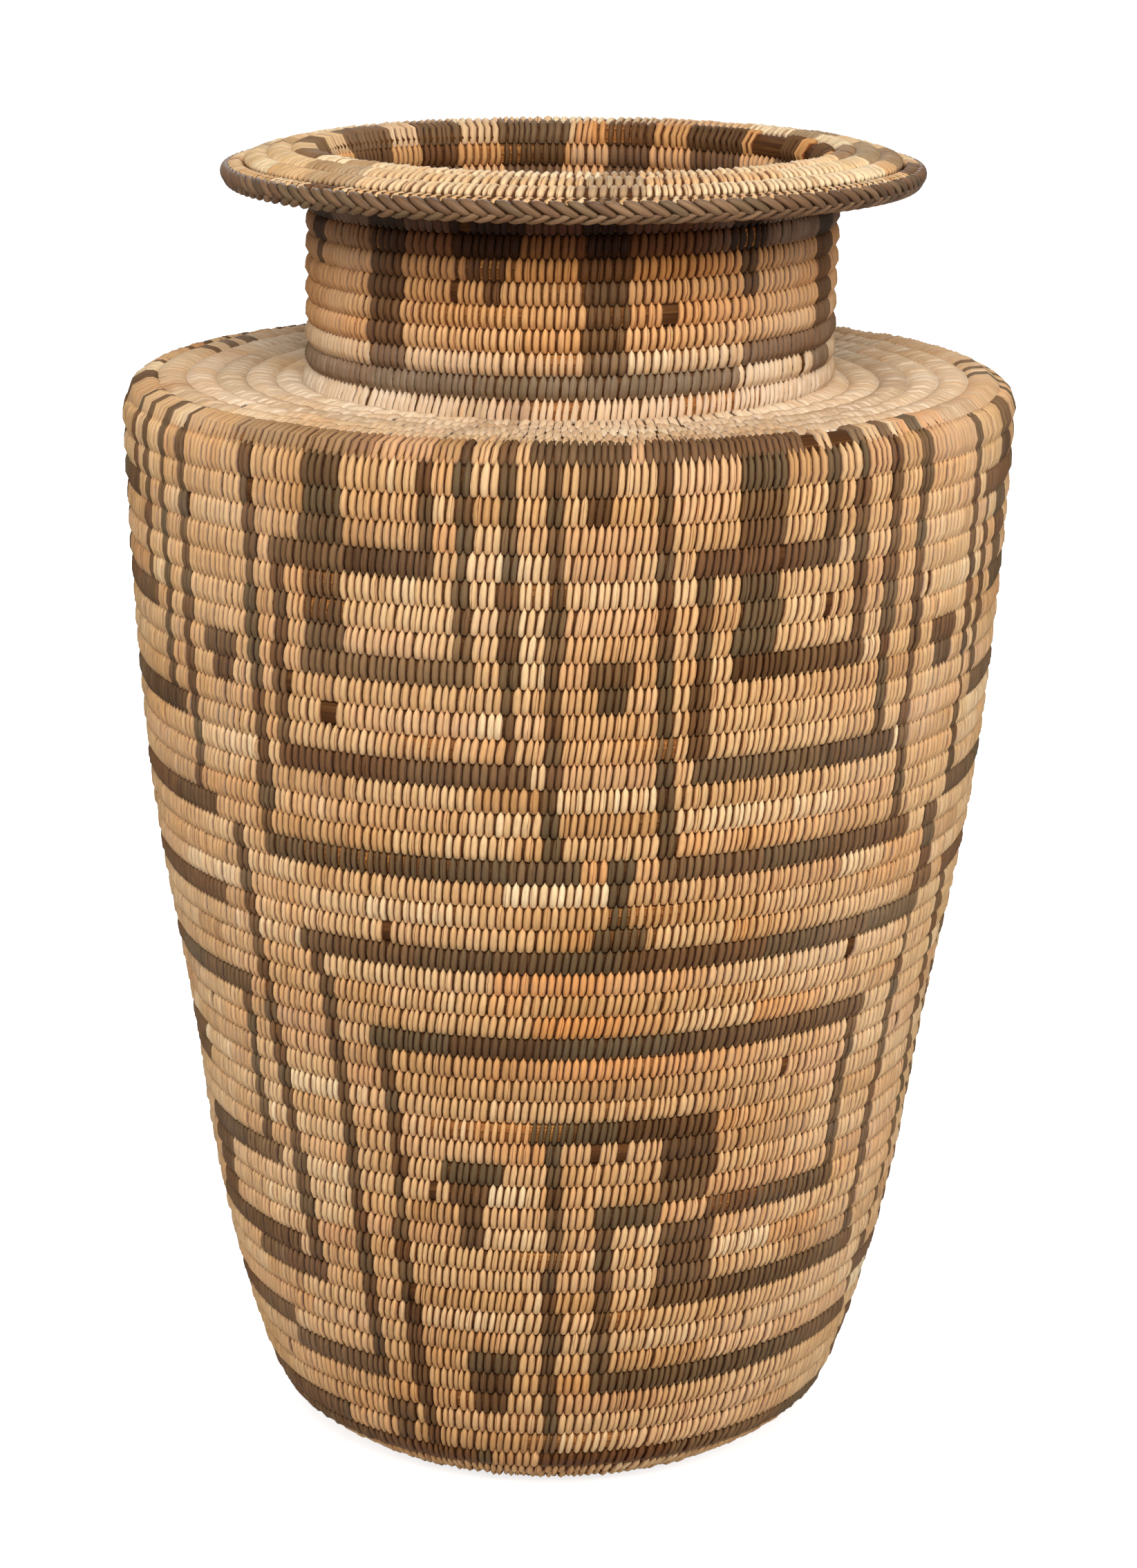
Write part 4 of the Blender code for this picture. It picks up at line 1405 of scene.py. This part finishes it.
@dataclass(frozen=True)
class BraidFinish:
    """Dark splints of the braid, with painted shade along the edges of each strand."""

    name: str = "braid splints"
    dark: Stops = ((0.0, paint(84, 58, 38)), (0.5, paint(114, 84, 57)), (1.0, paint(141, 109, 79)))
    olive: Colour = paint(104, 84, 58)
    russet: Colour = paint(110, 78, 52)
    # Tint of the painted shade at the strands' edges.
    painted_shade_and_crack: Colour = paint(58, 38, 24)
    streaks: float = 6.0
    stretch: float = 1.2
    sheen: float = 0.22
    bump: tuple[float, float] = (0.5, 0.0004)  # its strength and its depth

    def build(self) -> bpy.types.Material:
        """Builds the material from the splint and place attributes."""
        made, wires, shader = new_material(self.name)
        splint = wires.read("splint").outputs["Color"]
        _, shade, hue = wires.node("ShaderNodeSeparateColor", i0=splint).outputs
        grain, fine, edge, *_ = wires.node(
            "ShaderNodeGroup", node_tree=SplitFibre().group(), Place=wires.read("place").outputs["Vector"],
            Streaks=self.streaks, Stretch=self.stretch).outputs
        colour = wires.ramp(shade, self.dark)
        colour = wires.mix(wires.spread(hue, 0.6, 1.0, 0.0, 0.8), colour, self.olive)
        colour = wires.mix(wires.spread(hue, 0.4, 0.0, 0.0, 0.8), colour, self.russet)
        colour = wires.levelled(colour, wires.spread(grain, 0.3, 0.7, 0.7, 1.25))
        # Painted shade at the edges of each strand, where it dips beside its neighbours.
        colour = wires.mix(wires.times(edge, 0.75), colour, self.painted_shade_and_crack)
        bump = wires.node("ShaderNodeBump", Strength=self.bump[0], Distance=self.bump[1], Height=grain)
        wires.feed(shader, Base_Color=colour, Roughness=wires.spread(fine, 0.3, 0.7, 0.46, 0.62),
                   Normal=bump.outputs[0], Specular_IOR_Level=self.sheen)
        return made


@dataclass
class StrandForm:
    """One strand of the braid, laid flat: a splint that narrows to both ends."""

    depths: tuple[float, ...] = (-0.0008, -0.00015, 0.0001, -0.00015, -0.0008)  # from edge to edge
    widths: tuple[float, ...] = (0.70, 0.95, 1.0, 1.0, 1.0, 0.90, 0.60)  # from end to end

    def model(self) -> Form:
        """Models the strand, one unit wide and one long, with its depth in metres.

        Returns:
            The form, read from the mesh.
        """
        deselect()
        lanes, steps = len(self.depths) - 1, len(self.widths) - 1
        bpy.ops.mesh.primitive_grid_add(x_subdivisions=lanes, y_subdivisions=steps, size=1)
        strand = bpy.context.object
        start = read_points(strand.data)
        for k, depth in enumerate(self.depths):
            pick_vertices(strand, np.abs(start[:, 0] + 0.5 - k / lanes) < 0.01)
            bpy.ops.transform.translate(value=(0, 0, depth))
            bpy.ops.object.mode_set(mode="OBJECT")
        for k, width in enumerate(self.widths):
            pick_vertices(strand, np.abs(start[:, 1] + 0.5 - k / steps) < 0.01)
            bpy.ops.transform.resize(value=(width, 1, 1), center_override=(0, 0, 0))
            bpy.ops.transform.translate(value=(0, 0.5, 0))
            bpy.ops.object.mode_set(mode="OBJECT")
        x, y = np.abs(start[:, 0]), np.abs(start[:, 1])
        pick_vertices(strand, (x > 0.49) | (y > 0.49))
        bpy.ops.mesh.edge_face_add()
        bpy.ops.object.mode_set(mode="OBJECT")
        form = read_form(strand)
        bpy.data.objects.remove(strand, do_unlink=True)
        return form


@dataclass
class Rim:
    """The closed coil that ends the flange, and the herringbone braid laced over its outer side."""

    coil: CoilLine
    plaits: int = 129
    reaches: tuple[float, float] = (math.radians(60.0), math.radians(80.0))  # of the braid, up and down
    ridge: float = math.radians(-12.0)
    overlap: float = math.radians(7.0)
    strand_width: float = 0.0033
    run: float = 1.7  # plaits that a strand runs along the rim
    seat: float = 0.0007  # of the strands over the rim coil
    bulge: float = 0.0007  # of a strand between its ends
    twist: float = 0.00035  # from one edge of a strand to the other
    tuck: float = 0.0006  # of its start, under the strands before it
    stitch_pitch: float = 0.0029
    stitch_width: float = 0.0027
    stitch_slant: float = 0.0022
    wound: tuple[float, float] = (math.radians(40.0), math.radians(140.0))  # from where, and how far round
    dark_bearings: tuple[tuple[float, float], ...] = ((-48, -41), (72, 88), (3, 6))

    def on_rim(self, turn: np.ndarray, lean: np.ndarray, reach: np.ndarray) -> np.ndarray:
        """Puts points round the rim coil.

        Args:
            turn: Places round the jar in turns.
            lean: Angles round the rim coil's own section, from its outer side up.
            reach: Distances from that section's middle.

        Returns:
            Points as x, y and z.
        """
        radius, height, tilt = self.coil.ring()
        return on_ring(turn, radius + reach * np.cos(tilt + lean), height + reach * np.sin(tilt + lean),
                       self.coil.seam)

    def build_braid(self, material: bpy.types.Material) -> None:
        """Makes the braid: strands from above and from below cross over one another at its ridge."""
        form = StrandForm().model()
        u, v, raised = form.points.T
        rng = np.random.default_rng(17)
        copies = Copies()
        seat = self.coil.rim_thickness / 2
        around = TURN * self.coil.rim_radius
        first = np.arange(self.plaits)[:, None] / self.plaits
        for sign in (1, -1):
            jitter = rng.uniform(-0.05, 0.05, (self.plaits, 1)) / self.plaits
            start = self.reaches[0] if sign > 0 else self.reaches[1]
            end = sign * self.ridge - self.overlap
            wide = self.strand_width * rng.uniform(0.9, 1.08, (self.plaits, 1))
            path = np.clip(v, 0, 1)
            lean = start + (end - start) * path
            slope = math.atan2(self.run * around / self.plaits, (start - end) * (seat + 0.001))
            along = self.run * path / self.plaits + (0 if sign > 0 else 0.5 / self.plaits)
            turn = first + jitter + along + u * wide * math.cos(slope) / around
            leaning = lean + u * wide * math.sin(slope) / (seat + 0.001)
            lift = self.bulge * np.sin(math.pi * np.clip(path * 0.93 + 0.04, 0, 1)) ** 0.7
            tilt = -self.twist * u
            tucked = self.tuck * (1 - np.clip(5 * path, 0, 1))
            reach = seat + self.seat + lift + tilt + raised - tucked
            points = self.on_rim(turn, sign * leaning, np.broadcast_to(reach, turn.shape))
            shade = np.clip(rng.normal(0.5, 0.22, self.plaits), 0, 1)
            tones = np.stack([np.ones(self.plaits), shade, rng.uniform(size=self.plaits),
                              np.zeros(self.plaits)], axis=1)
            copies.add(form, points, tones, rng.uniform(0, OWN_NUMBERS, self.plaits), flip=sign > 0)
        piece = copies.build("rim_braid_strands", material)
        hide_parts("rim_braid")
        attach(piece, "root")
        log.info("%s: %d faces", piece.name, len(piece.data.polygons))

    def build_coil(self, stitch: Form, splints: bpy.types.Material, stalks: bpy.types.Material) -> None:
        """Makes the rim coil: a ring of stalks with splints wound slantwise round it.

        Args:
            stitch: The modelled stitch.
            splints, stalks: Finishes of the splints and of the ring.
        """
        radius, height, _ = self.coil.ring()
        deselect()
        bpy.ops.mesh.primitive_torus_add(major_segments=160, minor_segments=10, major_radius=radius,
                                         minor_radius=self.coil.rim_thickness / 2 - 0.0003,
                                         location=(0, 0, height))
        ring = bpy.context.object
        ring.name = ring.data.name = "rim_stalks"
        bpy.ops.object.transform_apply(location=True, rotation=True, scale=True)
        points = read_points(ring.data)
        points[:, 0] += LEAN_ASIDE * (points[:, 2] - LEAN_LEVEL)
        ring.data.vertices.foreach_set("co", points.ravel())
        angle = np.arctan2(points[:, 1], points[:, 0])
        minor = np.arctan2(points[:, 2] - height, np.hypot(points[:, 0], points[:, 1]) - radius)
        place = np.stack([minor / TURN, angle * radius * PLACE_UNITS, 0 * angle], axis=1)
        add_values(ring.data, "place", place)
        ring.data.materials.clear()
        ring.data.materials.append(stalks)
        ring.data.shade_smooth()
        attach(ring, "root")
        rng = np.random.default_rng(23)
        u, v, raised = stitch.points.T
        number = round(TURN * radius / self.stitch_pitch)
        copies = Copies()
        turn = (np.arange(number) + rng.uniform(-0.1, 0.1, number))[:, None] / number
        wide = self.stitch_width * rng.uniform(0.9, 1.05, (number, 1))
        bearing = (360 * (turn[:, 0] - FRONT) + 180) % 360 - 180
        dark = np.zeros(number)
        for first, last in self.dark_bearings:
            dark[(bearing > first) & (bearing < last)] = 1
        for sign in (1, -1):
            lean = self.wound[0] + (1 - v) * self.wound[1]
            at = turn + (self.stitch_slant * (1 - v) + u * wide) / (TURN * radius)
            reach = np.broadcast_to(self.coil.rim_thickness / 2 + raised, at.shape)
            shade = np.clip(rng.normal(0.55, 0.2, number), 0, 1)
            tones = np.stack([dark, shade, rng.uniform(size=number), np.full(number, 0.1)], axis=1)
            copies.add(stitch, self.on_rim(at, sign * lean, reach), tones,
                       rng.uniform(0, OWN_NUMBERS, number), flip=sign > 0)
        piece = copies.build("rim_coil_splints", splints)
        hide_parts("rim_coil")
        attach(piece, "root")
        log.info("%s: %d faces", piece.name, len(piece.data.polygons))


@dataclass
class StartKnot:
    """The knot that the coil starts from: splints drawn over a small button, inside and under the base."""

    coil: CoilLine
    splints: int = 13
    button: tuple[float, float, float] = (0.0062, 0.0062, 0.0030)
    hole: float = 0.0009  # from the axis to the splints' feet
    reach: float = 0.0052  # and from there to their tips

    def build(self, stitch: Form, material: bpy.types.Material, stalks: bpy.types.Material) -> None:
        """Makes the knot's splints and the button under them.

        Args:
            stitch: The modelled stitch.
            material, stalks: Finishes of the splints and of the button.
        """
        middle = float(self.coil.points[0][1])
        deselect()
        bpy.ops.mesh.primitive_uv_sphere_add(segments=24, ring_count=12, radius=1, location=(0, 0, 0))
        button = bpy.context.object
        button.name = button.data.name = "start_knot_stalks"
        bpy.ops.object.mode_set(mode="EDIT")
        bpy.ops.mesh.select_all(action="SELECT")
        bpy.ops.transform.resize(value=self.button, center_override=(0, 0, 0))
        bpy.ops.transform.translate(value=(LEAN_ASIDE * (middle - LEAN_LEVEL), 0, middle))
        bpy.ops.mesh.select_all(action="DESELECT")
        bpy.ops.object.mode_set(mode="OBJECT")
        button.data.shade_smooth()
        button.data.materials.append(stalks)
        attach(button, "root")
        rng = np.random.default_rng(31)
        u, v, raised = stitch.points.T
        copies = Copies()
        turn = (np.arange(self.splints) / self.splints)[:, None]
        for sign in (1, -1):
            reach = self.hole + self.reach * v
            spread = np.maximum(TURN * reach / self.splints, 0.0006)
            at = turn + 0.05 * v + u * spread / (TURN * np.maximum(reach, 0.0006))
            radius = np.broadcast_to(reach, at.shape)
            level = self.button[2] * np.sqrt(np.maximum(1 - (reach / 0.0068) ** 2, 0.0)) + 0.0004 + raised
            height = np.broadcast_to(middle + sign * level, at.shape)
            every_third = (np.arange(self.splints) % 3 == 0).astype(float)
            tones = np.stack([every_third, rng.uniform(size=self.splints),
                              rng.uniform(size=self.splints), np.full(self.splints, 0.2)], axis=1)
            copies.add(stitch, on_ring(at, radius, height, self.coil.seam), tones,
                       rng.uniform(0, OWN_NUMBERS, self.splints), flip=sign < 0)
        piece = copies.build("start_knot_splints", material)
        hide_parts("start_knot")
        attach(piece, "root")
        log.info("%s: %d faces", piece.name, len(piece.data.polygons))


@dataclass
class Lamp:
    """A soft rectangular lamp that looks at a point of the jar."""

    name: str
    at: tuple[float, float, float]
    size: tuple[float, float]
    power: float
    colour: tuple[float, float, float] = (1.0, 1.0, 1.0)
    aim: tuple[float, float, float] = (0.0, 0.0, 0.2)

    def build(self) -> None:
        """Hangs the lamp."""
        data = bpy.data.lights.new(self.name, "AREA")
        data.shape, data.size, data.size_y = "RECTANGLE", self.size[0], self.size[1]
        data.energy, data.color = self.power, self.colour
        lamp = place_in_scene(self.name, data)
        lamp.location = self.at
        way = np.array(self.aim) - np.array(self.at)
        across = math.hypot(way[0], way[1])
        lamp.rotation_euler = (math.atan2(across, -way[2]), 0, math.atan2(-way[0], way[1]))


@dataclass
class Studio:
    """A pale floor, plain soft light and the camera at the photograph's viewing angle."""

    camera_at: tuple[float, float, float] = (0.0020, -1.1572, 0.5156)
    pitch: float = 15.142
    roll: float = 0.3
    lens: float = 88.70
    lamps: tuple[Lamp, ...] = (
        Lamp("softbox", (0.0, -1.40, 1.37), (1.2, 0.85), 33.5, aim=(0.0, 0.0, 0.22)),
        Lamp("left", (-1.38, -0.92, 0.90), (0.9, 0.9), 5.0),
        Lamp("right", (1.38, -0.92, 0.90), (0.9, 0.9), 9.5),
        Lamp("back", (0.0, 1.50, 1.10), (1.2, 0.85), 13.0),
    )
    fill: float = 0.02
    floor_tone: float = 0.76
    floor_glow: float = 0.78
    floor_size: float = 12.0
    shadow: tuple[float, float] = (0.12, 0.60)  # metres from the jar over which its shadow fades out
    sensor: float = 36.0
    clip: tuple[float, float] = (0.01, 50.0)

    def build(self) -> None:
        """Sets up the floor, the lamps, the world and the camera."""
        self.build_floor()
        for lamp in self.lamps:
            lamp.build()
        self.build_world()
        self.build_camera()

    def build_floor(self) -> None:
        """Lays the floor, which looks white to the camera and keeps the jar's shadow."""
        deselect()
        bpy.ops.mesh.primitive_plane_add(size=self.floor_size, location=(0, 0, 0))
        floor = bpy.context.object
        floor.name = floor.data.name = "studio_floor"
        made, wires, shader = new_material("studio floor")
        seen = wires.node("ShaderNodeLightPath").outputs["Is Camera Ray"]
        away = wires.node("ShaderNodeVectorMath", operation="LENGTH", i0=wires.node(
            "ShaderNodeTexCoord").outputs["Object"]).outputs["Value"]
        glow = wires.spread(away, *self.shadow, self.floor_glow, 1.0)
        wires.feed(shader, Base_Color=(self.floor_tone, self.floor_tone, self.floor_tone, 1), Roughness=0.9,
                   Emission_Color=(1, 1, 1, 1), Emission_Strength=wires.times(seen, glow))
        floor.data.materials.append(made)

    def build_world(self) -> None:
        """Makes the world white to the camera and a soft fill to everything else."""
        world = bpy.data.worlds.new("studio")
        bpy.context.scene.world = world
        world.use_nodes = True
        wires = Wires(world.node_tree)
        path = wires.node("ShaderNodeLightPath").outputs
        seen = wires.larger(wires.larger(path["Is Camera Ray"], path["Is Transmission Ray"]),
                            path["Is Glossy Ray"])
        wires.feed(world.node_tree.nodes["Background"], i0=(1, 1, 1, 1),
                   i1=wires.spread(seen, 0.0, 1.0, self.fill, 1.0))

    def build_camera(self) -> None:
        """Sets the camera."""
        data = bpy.data.cameras.new("camera")
        data.lens, data.sensor_width, data.sensor_fit = self.lens, self.sensor, "AUTO"
        data.clip_start, data.clip_end = self.clip
        camera = place_in_scene("camera", data)
        camera.location = self.camera_at
        down, roll = math.radians(self.pitch), math.radians(self.roll)
        look = np.array([0, math.cos(down), -math.sin(down)])
        above = np.array([0, math.sin(down), math.cos(down)])
        right = np.array([1.0, 0, 0])
        turned_right = right * math.cos(roll) + above * math.sin(roll)
        turned_up = above * math.cos(roll) - right * math.sin(roll)
        camera.rotation_mode = "QUATERNION"
        rows = np.stack([turned_right, turned_up, -look], axis=1)
        camera.rotation_quaternion = Matrix(rows.tolist()).to_quaternion()
        bpy.context.scene.camera = camera
        bpy.context.scene.view_settings.view_transform = "Standard"


def list_stretches(coil: CoilLine) -> list[Stretch]:
    """Lists the stretches of the coil as the CAD nodes have them.

    Args:
        coil: The coil's line.

    Returns:
        The stretches, in order.
    """
    base, wall, shoulder, neck, flange, end = coil.firsts
    rows = [("base_coils_inner", "base_coils", 0.0), ("base_coils_outer", "base_coils", (base + wall) / 2),
            ("foot_coil", "foot_coil", wall - 1)]
    rows += [(f"wall_coils_{k + 1}", "wall_coils", wall + (shoulder - 1 - wall) * k / 8) for k in range(8)]
    rows += [("shoulder_edge_coil", "shoulder_edge", shoulder - 1),
             ("shoulder_coils_outer", "shoulder_coils", shoulder),
             ("shoulder_coils_inner", "shoulder_coils", (shoulder + neck) / 2),
             ("neck_foot_coil", "neck_foot", neck), ("neck_coils_lower", "neck_coils", neck + 1),
             ("neck_coils_upper", "neck_coils", (neck + 1 + flange) / 2),
             ("lip_coil", "flange_coils", flange - 1), ("flange_coils", "flange_coils", flange)]
    ends = [row[2] for row in rows[1:]] + [end + coil.shift_share]
    return [Stretch(node, slot, first, last) for (node, slot, first), last in zip(rows, ends)]


def main() -> None:
    """Builds the basket's looks piece by piece."""
    logging.basicConfig(level=logging.INFO, format="%(name)s: %(message)s")
    coil = CoilLine()
    splints, stalks, braid = SplintFinish().build(), BundleFinish().build(), BraidFinish().build()
    sewn = SewnCoil(coil, Ornament())
    log.info("stitches: %d", len(sewn.turns))
    sewn.build(list_stretches(coil), splints)
    bundle = Bundle(coil)
    _, wall, shoulder, neck, _, end = coil.firsts
    for name, slot, first, last in (
            ("base_stalks", "base_coils", 0.1, wall - 1),
            ("wall_stalks", "wall_coils", wall - 1, shoulder - 1),
            ("shoulder_stalks", "shoulder_coils", shoulder - 1, neck),
            ("neck_stalks", "neck_coils", neck, end + coil.shift_share - 0.02)):
        bundle.build(name, slot, first, last, stalks)
    rim = Rim(coil)
    rim.build_braid(braid)
    rim.build_coil(sewn.fine[0], splints, stalks)
    StartKnot(coil).build(sewn.fine[0], splints, stalks)
    Studio().build()


if __name__ == "__main__":
    main()
